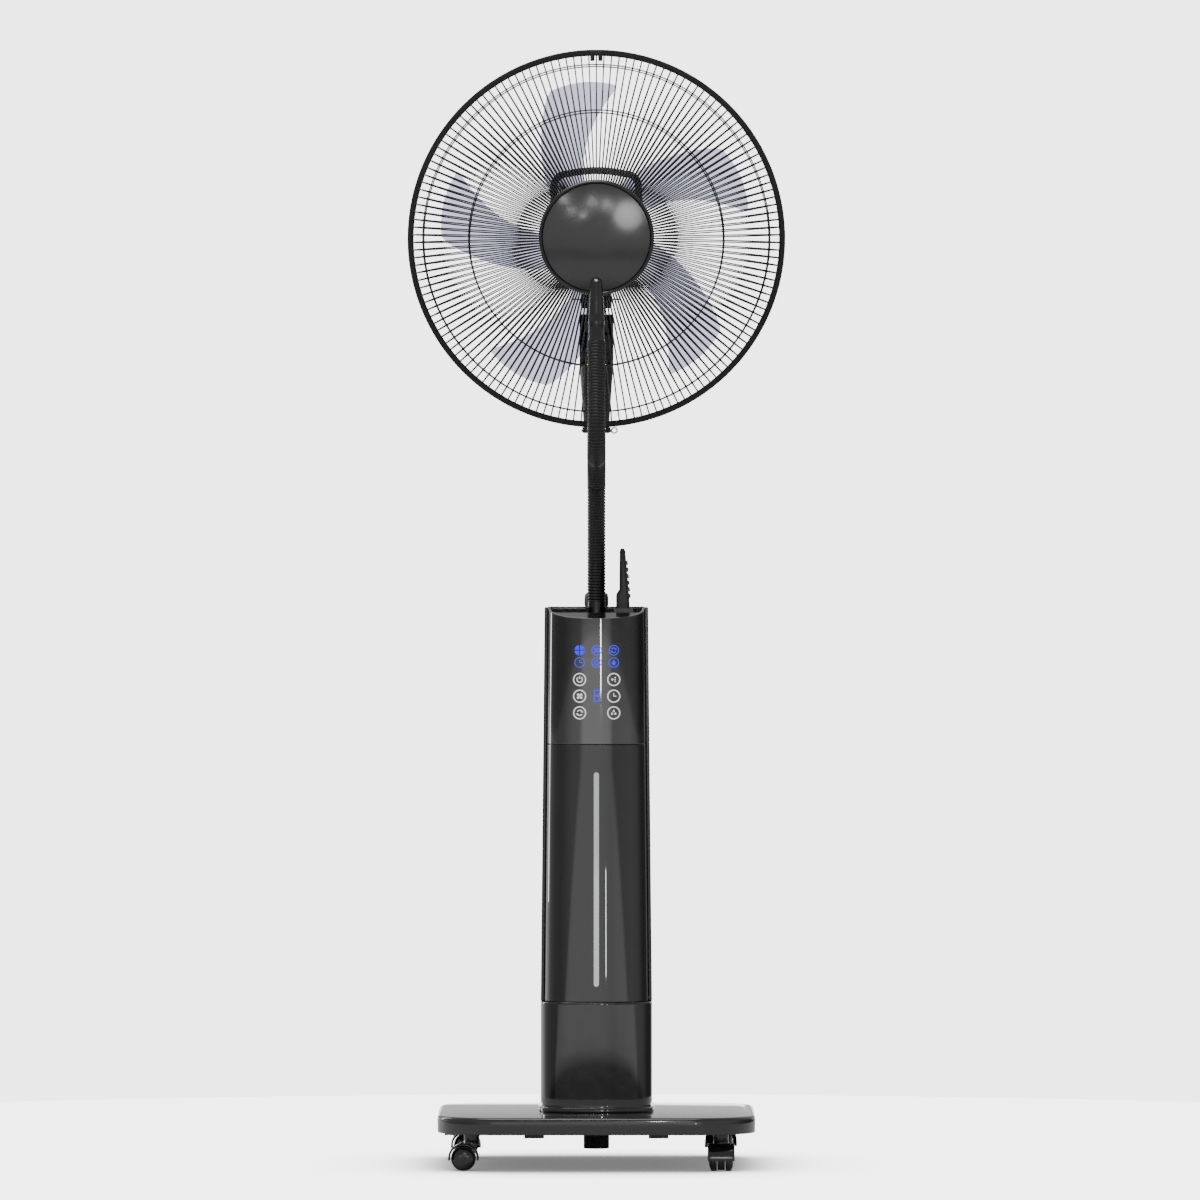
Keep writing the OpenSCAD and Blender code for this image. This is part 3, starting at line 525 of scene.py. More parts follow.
def reflected(tree, angle, drop):
    """Brightness in reflections: bands, a pale card in front, dark strips low and level, a glow behind."""
    wide = calc(tree, "ABSOLUTE", angle)
    reach = calc(tree, "MULTIPLY_ADD", drop, 34.0, -0.55)
    reach = calc(tree, "MINIMUM", calc(tree, "MAXIMUM", reach, 0.26), 1.15)
    card = map_range(tree, calc(tree, "SUBTRACT", reach, wide), 0, 1, -0.07, 0.05)
    bend = calc(tree, "MULTIPLY", calc(tree, "MULTIPLY", angle, angle), 0.0013)
    low = map_range(tree, calc(tree, "SUBTRACT", drop, bend), 0, 1, 0.0472, 0.0486)
    high = calc(tree, "MULTIPLY", map_range(tree, drop, 0, 1, 0.0145, 0.0139),
                map_range(tree, drop, 0, 1, -0.004, 0.0))
    shade = calc(tree, "MULTIPLY", calc(tree, "MULTIPLY_ADD", low, -0.78, 1.0),
                 calc(tree, "MULTIPLY_ADD", high, -0.6, 1.0))
    total = calc(tree, "MULTIPLY", calc(tree, "MULTIPLY_ADD", card, 0.65, band_ramp(tree, angle)), shade)
    behind = calc(tree, "MULTIPLY", map_range(tree, wide, 0, 1, 2.4, 2.7),
                  map_range(tree, drop, 0, 1, -0.032, -0.026))
    behind = calc(tree, "MULTIPLY", behind, map_range(tree, drop, 0, 1, 0.0, -0.003))
    total = calc(tree, "MULTIPLY_ADD", behind, 3.0, total)
    steep = map_range(tree, calc(tree, "ABSOLUTE", drop), 0, 1, 0.07, 0.13)
    return calc(tree, "MULTIPLY_ADD", steep, calc(tree, "SUBTRACT", 0.5, total), total)


def studio_world():
    """An even pale backdrop to the eye and through the blades, and the banded studio in reflections."""
    world = bpy.data.worlds.new("studio")
    bpy.context.scene.world = world
    world.use_nodes = True
    tree = world.node_tree
    tree.nodes.clear()
    split = tree.nodes.new("ShaderNodeSeparateXYZ")
    tree.links.new(tree.nodes.new("ShaderNodeTexCoord").outputs["Generated"], split.inputs["Vector"])
    angle = calc(tree, "ARCTAN2", split.outputs["X"], calc(tree, "MULTIPLY", split.outputs["Y"], -1))
    drop = calc(tree, "MULTIPLY", split.outputs["Z"], -1)
    total = reflected(tree, angle, drop)
    path = tree.nodes.new("ShaderNodeLightPath").outputs
    seen = calc(tree, "MAXIMUM", path["Is Camera Ray"], path["Is Transmission Ray"])
    total = calc(tree, "MULTIPLY_ADD", seen, calc(tree, "SUBTRACT", BACKDROP, total), total)
    background = tree.nodes.new("ShaderNodeBackground")
    tree.links.new(total, background.inputs["Strength"])
    out = tree.nodes.new("ShaderNodeOutputWorld")
    tree.links.new(background.outputs["Background"], out.inputs["Surface"])


# ---------------------------------------------------------------- guards
WIRES = 150
WIRE_R = 0.78
WIRE_SIDES = 6
WIRE_STEPS = 14
WIRE_START = 60.5
INNER_RING = 148.2
OUTER_RING = 201.5
RIM_R = GUARD_R - 5


def dome(r, depth, start=60, end=RIM_R):
    """How far a guard's wire stands off the rim plane at a radius."""
    t = min(1.0, max(0.0, (r - start) / (end - start)))
    return depth * math.sqrt(max(0.0, 1 - t * t))


def guard_wires(name, plane, depth, sign):
    """Radial wires from the centre ring to the rim, with their support rings and the rim wire."""
    verts, faces = [], []
    turns = [math.pi / 2 * s / WIRE_STEPS for s in range(WIRE_STEPS + 1)]
    radii = [WIRE_START + (RIM_R - WIRE_START) * math.sin(t) for t in turns]
    for w in range(WIRES):
        a = TAU * w / WIRES
        out = Vector((math.sin(a), 0, math.cos(a)))
        side = Vector((math.cos(a), 0, -math.sin(a)))
        line = [Vector((0, plane + sign * dome(r, depth), HEAD_Z)) + out * r for r in radii]
        faces += skin([(s, s + 1) for s in range(WIRE_STEPS)], WIRE_SIDES, len(verts))
        for s, p in enumerate(line):
            along = (line[min(s + 1, WIRE_STEPS)] - line[max(s - 1, 0)]).normalized()
            third = along.cross(side)
            verts += [p + side * u + third * v for u, v in circle(WIRE_R, WIRE_SIDES)]
    parts = [make(name + "_wires", verts, faces, WIRE)]
    for r, thick, lift in ((INNER_RING, 0.75, -1.3), (OUTER_RING - sign * 0.3, 0.75, -1.3), (RIM_R, 2.2, 0),
                           (62, 1.6, -1.6)):
        ring_y = plane + sign * (dome(r, depth) + lift)
        shape = [(r + u, v) for u, v in circle(thick, 10)]
        parts.append(lathe(name + "_ring", shape, WIRE, (0, ring_y, HEAD_Z), segments=160, closed=True))
    return parts


def build_guards():
    rear_plane, front_plane = HOOP_Y + 3, HOOP_Y - 3
    rear = guard_wires("rear", rear_plane, REAR_Y - rear_plane - 0.4, 1)
    hub = [(18.4, -2.4), (60.5, -2.4), (61, -1.9), (61, -0.5), (60.5, 0), (52, 0), (50, -0.8), (40, -0.8),
           (38, 0), (20, 0), (18.4, -0.6)]
    rear.append(lathe("rear_hub", hub, SATIN, (0, REAR_Y, HEAD_Z), closed=True))
    put(join("rear_guard_wirework", rear), "head", "guard_wire", "rear_guard")
    front = guard_wires("front", front_plane, front_plane - FRONT_Y - 0.4, -1)
    put(join("front_guard_wirework", front), "head", "guard_wire", "front_guard")


def build_hoop():
    r = GUARD_R
    hoop = [(r - 6.6, -6.2), (r - 6.0, -7.0), (r - 1.2, -7.0), (r - 0.2, -6.2), (r, -5.0), (r, -1.6),
            (r - 1.1, -1.1), (r - 1.1, 1.1), (r, 1.6), (r, 5.0), (r - 0.2, 6.2), (r - 1.2, 7.0),
            (r - 6.0, 7.0), (r - 6.6, 6.2), (r - 6.2, 5.6), (r - 1.8, 5.4), (r - 1.8, -5.4), (r - 6.2, -5.6)]
    ring = lathe("guard_hoop_ring", hoop, MATTE, (0, HOOP_Y, HEAD_Z), segments=220, closed=True)
    put(ring, "head", "black_plastic", "guard_hoop")


def build_clips():
    """Catch at the hoop's top and its closing screw at the bottom."""
    clip = HOOP_Y - 17.8
    parts = []
    for x in (-4.6, 4.6):
        parts.append(block("prong", (x - 2.5, clip, HEAD_Z + 206.2), (x + 2.5, clip + 3.7, HEAD_Z + 215),
                           SATIN, 0.9))
    parts.append(block("clip_bridge", (-7.1, clip, HEAD_Z + 212.6), (7.1, clip + 3.7, HEAD_Z + 218.2),
                       SATIN, 1))
    parts.append(block("clip_link", (-7.1, clip + 1, HEAD_Z + 216.5), (7.1, clip + 10.6, HEAD_Z + 218.2),
                       SATIN, 0.7))
    bottom = HEAD_Z - GUARD_R
    wing = [(-2.2, -6.6), (2.0, -6.6), (2.6, -5.6), (2.6, 0.6), (-3.4, 0.3), (-2.8, -4.4)]
    for sx in (-1, 1):
        rings = [[(sx * (13.2 - a), y, bottom + b) for a, b in wing] for y in (HOOP_Y - 5.6, HOOP_Y + 5.6)]
        parts.append(bevel(ring_loft("wing", rings, SATIN), 0.6))
    screw_z = bottom - 3.9
    screw = [(0, -17.6), (1.5, -17.6), (1.5, 16.2), (2.1, 16.6), (2.1, 17.9), (1.9, 18.4), (0, 18.4)]
    parts.append(lathe("hoop_screw", screw, STEEL, (0, HOOP_Y, screw_z), axis="X", segments=24))
    washer = [(3.1 + a, b) for a, b in circle(1.0)]
    parts.append(lathe("screw_washer", washer, CLEAR_RING, (20.9, HOOP_Y - 1.0, screw_z + 0.6), segments=32,
                       closed=True))
    put(join("guard_clip_set", parts), "head", "black_plastic", "guard_clips")


def build_badge():
    """Glossy grey disc in a black rim. It carries no mark."""
    centre = (0, box("badge_disc")[1].y, HEAD_Z)
    rim = [(62.9, 0.0), (66.0, 0.0), (66.8, -0.8), (67.0, -3.0), (66.7, -6.4), (65.8, -7.6), (64.6, -8.0),
           (63.6, -7.5), (62.9, -5.4)]
    disc = [(0, -0.3), (62.6, -0.3), (62.8, -3.6), (62.0, -4.6)]
    disc += [(62 * math.sqrt(1 - k / 10), -4.6 - 1.1 * (k / 10)) for k in range(1, 10)] + [(0, -5.7)]
    parts = [lathe("rim", rim, GLOSS_BLACK, centre, segments=128, closed=True),
             lathe("disc", disc, BADGE_GREY, centre, segments=128)]
    put(join("badge", parts), "head", "grey_gloss", "badge_disc")


# ---------------------------------------------------------------- rotor
BLADES = 5
BLADE_COLS = 26
BLADE_ROWS = 16
BLADE_ROOT = 33
BLADE_TIP = 183


def blade_point(turn, t, u, face):
    """t runs from root to tip and u from edge to edge; face is -1 in front and 1 behind."""
    r = BLADE_ROOT + (BLADE_TIP - BLADE_ROOT) * t
    half = (18 + 25 * t - 2 * math.sin(math.pi * t)) * (1 - 0.14 * t ** 60) ** 0.5
    middle = turn + math.radians(34 * (1 - t) ** 1.05)
    pitch = math.radians(36 - 20 * t)
    around = middle + u * half * math.cos(pitch * 0.5) / r
    camber = (5 - 2.4 * t) * (1 - u * u)
    thick = 1.1 * (1 - 0.55 * abs(u)) * (1 - 0.3 * t)
    bend = r - 3 * u * u * t
    depth = u * half * math.sin(pitch) * 0.62 - camber + face * thick
    return bend * math.cos(around), ROTOR_Y + depth, HEAD_Z + bend * math.sin(around)


def blade(turn):
    """One swept, twisted blade with a nearly straight tip."""
    verts = [blade_point(turn, i / BLADE_COLS, -1 + 2 * j / BLADE_ROWS, face)
             for face in (-1, 1) for i in range(BLADE_COLS + 1) for j in range(BLADE_ROWS + 1)]
    faces = []

    def at(side, i, j):
        return (side * (BLADE_COLS + 1) + i) * (BLADE_ROWS + 1) + j

    for i in range(BLADE_COLS):
        for j in range(BLADE_ROWS):
            faces.append([at(0, i, j), at(0, i + 1, j), at(0, i + 1, j + 1), at(0, i, j + 1)])
            faces.append([at(1, i, j), at(1, i, j + 1), at(1, i + 1, j + 1), at(1, i + 1, j)])
    for i in range(BLADE_COLS):
        for j in (0, BLADE_ROWS):
            faces.append([at(0, i, j), at(0, i + 1, j), at(1, i + 1, j), at(1, i, j)])
    for j in range(BLADE_ROWS):
        for i in (0, BLADE_COLS):
            faces.append([at(0, i, j), at(0, i, j + 1), at(1, i, j + 1), at(1, i, j)])
    return make("blade", verts, faces, BLADE, True, 50)


def build_blades():
    """Blades on a cup-shaped hub."""
    parts = [blade(math.radians(95 + 360 / BLADES * b)) for b in range(BLADES)]
    hub = [(4.2, -18), (12, -18.6), (30, -17.4), (35, -15.5), (37.4, -11), (38.6, 0), (39.6, 14),
           (39.8, 17.6), (37.8, 17.8), (37.4, 14), (36.4, 0), (35, -10), (31, -14.6), (12, -15.8),
           (4.2, -15.4)]
    parts.append(lathe("hub", hub, BLADE, (0, ROTOR_Y, HEAD_Z), closed=True))
    put(join("blade_wheel", parts), "rotor", "smoke_blade", "fan_blades")
    dress(STEEL, "motor_shaft")
    dress(LAMINATE, "rotor_core")


def build_spinner_nut():
    """Cap nut with six lobes to grip."""
    y = box("spinner_nut")[0].y
    nut = [(0, 0), (9, 0), (13, 0.8), (14.8, 2.2), (17.6, 12), (18.6, 17.0), (18.2, 17.9), (6, 17.9),
           (4.1, 17.0), (4.1, 6), (0, 6)]
    parts = [lathe("nut", nut, SATIN, (0, y, HEAD_Z), segments=72)]
    for k in range(6):
        a = TAU * k / 6
        rings = []
        for h, grow in ((1.6, 0.6), (2.6, 1.5), (12, 2.4), (16.6, 2.6), (17.6, 2.0)):
            reach = 12.8 + h * 0.22
            rings.append([(reach * math.cos(a) + c, y + h, HEAD_Z + reach * math.sin(a) + s)
                          for c, s in circle(1.2 * grow, 14)])
        parts.append(ring_loft("lobe", rings, SATIN))
    put(join("spinner_nut_cap", parts), "rotor", "smoke_blade", "spinner_nut")


# ---------------------------------------------------------------- motor and handle
def vent_slots(back):
    """Tool for two rings of slots in the motor cover's back."""
    cutters = []
    for ring_r, count, length in ((27, 20, 9), (40, 28, 8)):
        for k in range(count):
            a = TAU * k / count
            out = Vector((math.cos(a), 0, math.sin(a)))
            side = Vector((-math.sin(a), 0, math.cos(a)))
            shape = [out * (ring_r + u) + side * v for u, v in rounded_rect(length, 2.6, 1.25)]
            rings = [[Vector((0, back + d, HEAD_Z)) + p for p in shape] for d in (-22, 4)]
            cutters.append(ring_loft("slot", rings, SATIN))
    return join("vent_slots", cutters)


def build_motor():
    lo, hi = box("motor_housing")
    r = (hi.x - lo.x) / 2
    back = hi.y
    front = lo.y
    outer = [(r - 0.6, front), (r, front + 0.8), (r, front + 12), (r - 0.7, front + 12.6),
             (r - 0.7, front + 14), (r, front + 14.6), (r, back - 24)]
    outer += arc(r - 26, back - 24, 26, 0, 90, 12, 20.5)[1:]
    outer += [(30, back - 2.9), (24, back - 1.4), (12, back - 0.4), (0, back - 0.2)]
    inner = [(0, back - 2.6), (24, back - 3.8), (r - 27, back - 6)]
    inner += arc(r - 28.2, back - 26, 26, 0, 90, 12, 20.5)[:-1][::-1] + [(r - 2.2, front)]
    shell = lathe("shell", outer + inner, SATIN, (0, 0, HEAD_Z), segments=128)
    carve(shell, vent_slots(back))
    head = [(0, 9.6), (2.2, 9.6), (2.9, 9.2), (3.1, 8.4), (3.1, 6), (0, 6)]
    parts = [shell]
    for x, z in arc(0, HEAD_Z, 54, 45, 315, 3):
        parts.append(lathe("screw", head, STEEL, (x, back - 16, z), segments=24))
    put(join("motor_cover", parts), "head", "black_plastic", "motor_housing")
    dress(CAST, "motor_front_bell")
    dress(LAMINATE, "stator")
    dress(STEEL, "motor_bearings", "swing_motor")
    dress(SATIN, "swing_base")


def build_handle():
    """Arched carrying handle over the motor housing, slightly crowned along its top."""
    lo, hi = box("carry_handle")
    mid_y = (lo.y + hi.y) / 2
    half = (hi.x - lo.x) / 2 - 4.4
    level = hi.z - 8.2
    low = HEAD_Z + 37
    corner = 15
    path = [(-half - 0.2, low), (-half, low + 8)] + arc(-half + corner, level - corner, corner, 180, 90, 12)
    for k in range(1, 12):
        x = (-half + corner) * (1 - k / 6)
        path.append((x, level + 4 * (1 - (x / (half - corner)) ** 2)))
    path += arc(half - corner, level - corner, corner, 90, 0, 12) + [(half, low + 8), (half + 0.2, low)]
    shape = rounded_rect(8.3, 16.6, 3.2, 5)
    parts = [sweep("handle_bar", [(x, mid_y, z) for x, z in path], lambda i: shape, SATIN, up=(0, 1, 0),
                   angle=50)]
    for x in (-49.5, 49.5):
        parts.append(block("handle_foot", (x - 5, lo.y, HEAD_Z + 34), (x + 5, hi.y, HEAD_Z + 48),
                           SATIN, 2.2, 4))
    put(join("handle", parts), "head", "black_plastic", "carry_handle")


# ---------------------------------------------------------------- column
COL_TOP_HALF = 60.5
COL_LOW_HALF = 65
COL_BACK = COL_HI.y
CORNER_R = 8
SAG = 45
CURVE_Y = -25
POWER = 2.5
RAIL = 4
SHEET = 2.5
STRIP = 3
SEAM = LOWER_HI.z
STRIP_BACK = CURVE_Y + 12


def col_half(z):
    """Half of the column's width at a height."""
    t = (z - SEAM) / (COL_HI.z - SEAM)
    return COL_LOW_HALF + (COL_TOP_HALF - COL_LOW_HALF) * min(1, max(0, t))


def panel_half(z):
    return col_half(z) - RAIL - 0.3


def front_y(x, half):
    """Y of the curved front at a sideways place."""
    u = min(1.0, abs(x) / half)
    return CURVE_Y - SAG * (1 - u ** POWER) ** (1 / POWER)


def front_points(half, sag, steps=72):
    """Points along the curved front, from right to left."""
    points = []
    for k in range(steps + 1):
        t = math.pi * k / steps
        c, s = math.cos(t), max(0.0, math.sin(t))
        points.append((half * math.copysign(abs(c) ** (2 / POWER), c), CURVE_Y - sag * s ** (2 / POWER)))
    return points


def col_ring(half, inset):
    """Plan outline of the whole column, inset on every side."""
    a = half - inset
    y = COL_BACK - 0.8 * inset - CORNER_R
    ring = arc(-a + CORNER_R, y, CORNER_R, 180, 90, 8) + arc(a - CORNER_R, y, CORNER_R, 90, 0, 8)
    return ring + front_points(a, SAG - inset)


def build_lower_housing():
    lo, hi = LOWER_LO.z, LOWER_HI.z
    steps = [(-2.2, lo), (-2.5, lo + 0.5), (-2.5, lo + 4.2), (-2.1, lo + 4.9), (-0.9, lo + 5.1),
             (-0.2, lo + 5.6), (0, lo + 6.6), (0, lo + 8), (0, hi - 2.6), (0, hi - 1.2), (0.3, hi - 0.4),
             (0.8, hi), (2.4, hi), (2.5, hi - 2), (2.5, lo)]
    rings = [[(x, y, z) for x, y in col_ring(COL_LOW_HALF, inset)] for inset, z in steps]
    put(ring_loft("lower_shell", rings, SMOKED, closed=True), "stand", "smoked_gloss", "lower_housing")


def build_column_shell():
    """Back and both side rails in one bent sheet, open at the front."""
    front = CURVE_Y - 2
    bend = 5
    rings = []
    for z in (COL_LO.z, (COL_LO.z + COL_HI.z) / 2, COL_HI.z):
        a = col_half(z)
        outer, inner = [], []
        for side, start in ((1, 0), (-1, 90)):
            outer += arc(side * (a - CORNER_R), COL_BACK - CORNER_R, CORNER_R, start, start + 90, 8)
            inner += arc(side * (a - RAIL - bend), COL_BACK - SHEET - bend, bend, start, start + 90, 8)
        section = [(a, front)] + outer + [(-a, front), (-a + RAIL, front)]
        section += inner[::-1] + [(a - RAIL, front)]
        rings.append([(x, y, z) for x, y in section])
    shell = bevel(ring_loft("rails", rings, RAIL_GLOSS, angle=30), 0.8, 3, 40)
    put(shell, "stand", "smoked_gloss", "column_shell")


def curved_strip(name, low, high, material, slope=0.0):
    """Curved cover between the rails; its top falls towards the front by slope."""
    rings = []
    for z in (low, (2 * low + high) / 3, (low + 2 * high) / 3, high):
        a = panel_half(z)
        outer = [(a, STRIP_BACK)] + front_points(a, SAG) + [(-a, STRIP_BACK)]
        inner = front_points(a - STRIP, SAG - STRIP)[::-1]
        inner = [(-a + STRIP, STRIP_BACK)] + inner + [(a - STRIP, STRIP_BACK)]
        fall = slope if z == high else 0.0
        rings.append([(x, y, z - fall * max(0.0, CURVE_Y - y)) for x, y in outer + inner])
    return bevel(ring_loft(name, rings, material, angle=30), 0.6, 3, 40)


def build_front_covers():
    tank_lo, tank_hi = box("tank_front")
    cover = curved_strip("tank_cover", tank_lo.z, tank_hi.z, SMOKED)
    put(cover, "tank", "smoked_gloss", "tank_front")
    panel = curved_strip("touch_panel", PANEL_LO.z, COL_HI.z, PANEL, slope=12 / 45)
    put(panel, "stand", "smoked_gloss", "control_panel")
    lo, hi = box("level_window")
    r = (hi.x - lo.x) / 2
    rings = []
    for inset, y in ((0.9, lo.y), (0.25, lo.y + 0.15), (0, lo.y + 0.7), (0, hi.y)):
        bar = arc(0, hi.z - r, r - inset, 0, 180, 16) + arc(0, lo.z + r, r - inset, 180, 360, 16)
        rings.append([(x, y, z) for x, z in bar])
    put(ring_loft("window_bar", rings, WINDOW), "tank", "window_plastic", "level_window")
    dress(GLOSS_BLACK, "top_tray")


# ---------------------------------------------------------------- panel icons
ICON_LIFT = 0.12


def stroke(points, width):
    """A flat line of even width as (points, faces)."""
    points = [Vector(p) for p in points]
    verts, faces = [], []
    closed = (points[0] - points[-1]).length < 1e-6 and len(points) > 2
    count = len(points)
    for i, p in enumerate(points):
        before = points[i - 1] if i else (points[-2] if closed else p)
        after = points[i + 1] if i < count - 1 else (points[1] if closed else p)
        d = (after - before).normalized()
        side = Vector((-d.y, d.x)) * width / 2
        verts += [p + side, p - side]
        if i < count - 1:
            faces.append([2 * i, 2 * i + 1, 2 * i + 3, 2 * i + 2])
    return verts, faces


def blob(points):
    """A filled convex outline."""
    return [Vector(p) for p in points], [list(range(len(points)))]


def spot(x, y, r, steps=12):
    return blob(arc(x, y, r, steps=steps)[:-1])


def glyph(kind, s):
    """Strokes of a generic sign, s being its half height."""
    w = s * 0.24
    if kind == "power":
        return [stroke(arc(0, 0, s * 0.62, 125, 415), w), stroke([(0, s * 0.1), (0, s * 0.85)], w)]
    if kind == "lit":
        return [blob([arc(0, 0, s * 0.2, a, a)[0]] + arc(0, 0, s * 1.37, a - 38, a + 38, 8))
                for a in (45, 135, 225, 315)]
    if kind == "clock":
        return [stroke([(0, s * 0.72), (0, 0), (s * 0.6, 0)], w)]
    if kind == "swing":
        return [stroke(arc(0, 0, s * 0.6, 30, 150), w), stroke(arc(0, 0, s * 0.6, 210, 330), w),
                blob([(s * 0.85, s * 0.1), (s * 0.3, s * 0.1), (s * 0.6, s * 0.55)]),
                blob([(-s * 0.85, -s * 0.1), (-s * 0.3, -s * 0.1), (-s * 0.6, -s * 0.55)])]
    if kind == "fan":
        petals = [spot(x, y, s * 0.3, 14) for x, y in arc(0, 0, s * 0.48, 45, 315, 3)]
        return [spot(0, 0, s * 0.16)] + petals
    if kind == "dots":
        return [spot(-s * 0.3, 0, s * 0.26)] + [spot(s * 0.35, d * s, s * 0.17) for d in (-0.45, 0, 0.45)]
    if kind == "drops":
        return [blob(arc(x * s, y * s, s * 0.24, -230, 50, 12) + [(x * s, y * s + s * 0.42)])
                for x, y in ((-0.38, -0.25), (0.38, -0.25), (0, 0.38))]
    drop = arc(0, -s * 0.2, s * 0.5, -230, 50, 18) + [(0, s * 0.85)]
    if kind == "drop":
        return [stroke(drop + drop[:1], w)]
    return [blob(drop)]


def decal(name, shapes, material, place):
    """Flat shapes laid onto a surface; place turns (u, v) into a point just above it."""
    verts, faces = [], []
    for pts, quads in shapes:
        base = len(verts)
        verts += [place(p[0], p[1]) for p in pts]
        faces += [[base + i for i in f] for f in quads]
    return make(name, verts, faces, material, False)


def moved(shapes, u, v):
    return [([Vector((p[0] + u, p[1] + v)) for p in pts], faces) for pts, faces in shapes]


def on_panel(u, v):
    return u, front_y(u, panel_half(v)) - ICON_LIFT, v


def build_icons():
    """Six small lights, six ringed touch signs and one digit. All are generic."""
    top = PANEL_HI.z
    left, middle, right = -19.5, 0.3, 20.2
    lights = []
    for v, kinds in ((top - 49.2, ("lit", "fan", "swing")), (top - 63.4, ("clock", "drop", "full_drop"))):
        for u, kind in zip((left, middle, right), kinds):
            ring = [] if kind == "lit" else [stroke(arc(0, 0, 5.6), 0.9)]
            lights += moved(ring + glyph(kind, 4.4), u, v)
    digit = [(3, 6.4), (-3, 6.4), (-3, 0.4), (3, 0.4), (3, 6.4)]
    low = [(3, -0.4), (-3, -0.4), (-3, -6.4), (3, -6.4), (3, -0.4)]
    lights += moved([stroke(digit, 1.5), stroke(low, 1.5)], 0.4, top - 102)
    signs = []
    for v, kinds in ((top - 83.2, ("power", "dots")), (top - 102.6, ("fan", "clock")),
                     (top - 122, ("swing", "drops"))):
        for u, kind in zip((left, right), kinds):
            signs += moved([stroke(arc(0, 0, 7.0), 1.35)] + glyph(kind, 5.0), u, v)
    put(decal("panel_lights", lights, ICON_BLUE, on_panel), "stand", "white_plastic")
    put(decal("panel_signs", signs, ICON_WHITE, on_panel), "stand", "white_plastic")


# ---------------------------------------------------------------- base and casters
BASE_CORNER = 72
STEM_X = 144.5
STEM_Y = 134
TRAIL = 9.5
WHEEL_R = 14.35
AXLE = (-TRAIL, 0, WHEEL_R)


def build_base():
    w, d = BASE_HI.x - BASE_LO.x, BASE_HI.y - BASE_LO.y
    rings = []
    for inset, z in ((3.2, 17.5), (3.2, 0.0), (1.2, 0.0), (0.5, 0.35), (0.2, 1.1), (0.0, 16.6), (0.25, 17.8),
                     (0.9, 18.8), (1.9, 19.5), (3.2, 19.9), (4.8, 20.0)):
        outline = rounded_rect(w - 2 * inset, d - 2 * inset, BASE_CORNER - inset, 20)
        rings.append([(x, y, BASE_LO.z + z) for x, y in outline])
    put(ring_loft("plate", rings, BASE_GLOSS), "stand", "gloss_black", "base_plate")
    dress(SATIN, "base_underplate")
    dress(MATTE, "base_nut")


def fender(y0, y1, a0, a1):
    """Lipped strip over the wheels, from angle a0 to a1 round the axle."""
    section = [(15.35, y0 + 0.4), (15.7, y0), (16.5, y0), (17.2, y0 + 0.3), (17.75, y0 + 1.2),
               (17.75, y0 + 2.4), (17.35, y0 + 2.9), (17.35, y1 - 2.9), (17.75, y1 - 2.4), (17.75, y1 - 1.2),
               (17.2, y1 - 0.3), (16.5, y1), (15.7, y1), (15.35, y1 - 0.4)]
    rings = []
    for k in range(49):
        a = math.radians(a0 + (a1 - a0) * k / 48)
        rings.append([(AXLE[0] + r * math.cos(a), y, AXLE[2] + r * math.sin(a)) for r, y in section])
    return ring_loft("hood", rings, GLOSS_BLACK)


def caster_hood(name, braked):
    """Fenders, the web between the wheels and the cup round the stem; a brake leaves a gap at the rear."""
    if braked:
        parts = [fender(-15.5, -5.2, -7, 187), fender(5.2, 15.5, -7, 187), fender(-8.0, 8.0, -7, 112)]
    else:
        parts = [fender(-15.5, 15.5, -7, 187)]
    web = [(0, -4.2), (13.0, -4.2), (13.3, -3.9), (13.3, 3.9), (13.0, 4.2), (0, 4.2)]
    parts.append(lathe("web", web, SATIN, AXLE, segments=48))
    parts.append(block("saddle", (AXLE[0] - 4.3, -4.2, AXLE[2]), (AXLE[0] + 4.6, 4.2, 31), SATIN, 1))
    top = BASE_LO.z
    cup = [(0, 25.8), (7.4, 25.8), (8.6, 26.6), (9.0, 28), (9.0, 34.5), (8.6, 35.1), (8.6, 35.9),
           (9.0, 36.5), (9.0, top - 0.8), (8.5, top - 0.3), (4, top - 0.3), (4, top + 14), (0, top + 14)]
    parts.append(lathe("swivel_cup", cup, GLOSS_BLACK, axis="Z", segments=48))
    return join(name, parts)


def wheel_pair(name):
    face = [(0, 14.9), (2.2, 14.8), (2.6, 14.3), (5, 14.2), (9, 13.7), (11.8, 12.6), (12.6, 11.6),
            (12.9, 11.3), (13.2, 12.0), (13.6, 12.0), (14.35, 11.0), (14.35, 6.2), (14.0, 5.3), (13.0, 5.05),
            (2.4, 5.05), (2.4, 0), (0, 0)]
    sides = [lathe("wheel", [(r, s * h) for r, h in face], GLOSS_BLACK, AXLE, segments=64) for s in (1, -1)]
    return join(name, sides)


def brake_lever(name):
    """Ribbed pedal on a pin behind the wheels."""
    px, pz = -TRAIL - 12.4, WHEEL_R + 12.4
    spine = [(px + 2.2, pz + 0.2), (px + 1, pz + 1.9), (px - 3, pz + 2.3), (px - 8, pz + 2.2),
             (px - 12.0, pz + 1.5), (px - 12.9, pz + 0.5), (px - 12.4, pz - 0.4), (px - 8, pz + 0.1),
             (px - 3, pz - 0.3), (px, pz - 2.2), (px + 1.8, pz - 1.4)]
    cx, cz = px - 5, pz + 0.6
    rings = []
    for y, shrink in ((-7.8, 0.82), (-7.3, 0.97), (-6.5, 1), (6.5, 1), (7.3, 0.97), (7.8, 0.82)):
        rings.append([(cx + (x - cx) * (0.6 + 0.4 * shrink), y, cz + (z - cz) * shrink) for x, z in spine])
    pin = [(0, -11.2), (1.2, -11.2), (1.2, 11.2), (0, 11.2)]
    parts = [ring_loft("lever", rings, SATIN), lathe("lever_pin", pin, STEEL, (px, 0, pz), segments=20)]
    for k in range(3):
        x = px - 5.5 - 2 * k
        parts.append(block("rib", (x - 0.35, -5.5, pz + 1.6), (x + 0.35, 5.5, pz + 2.55 - 0.1 * k), SATIN,
                           0.2, 2))
    return join(name, parts)


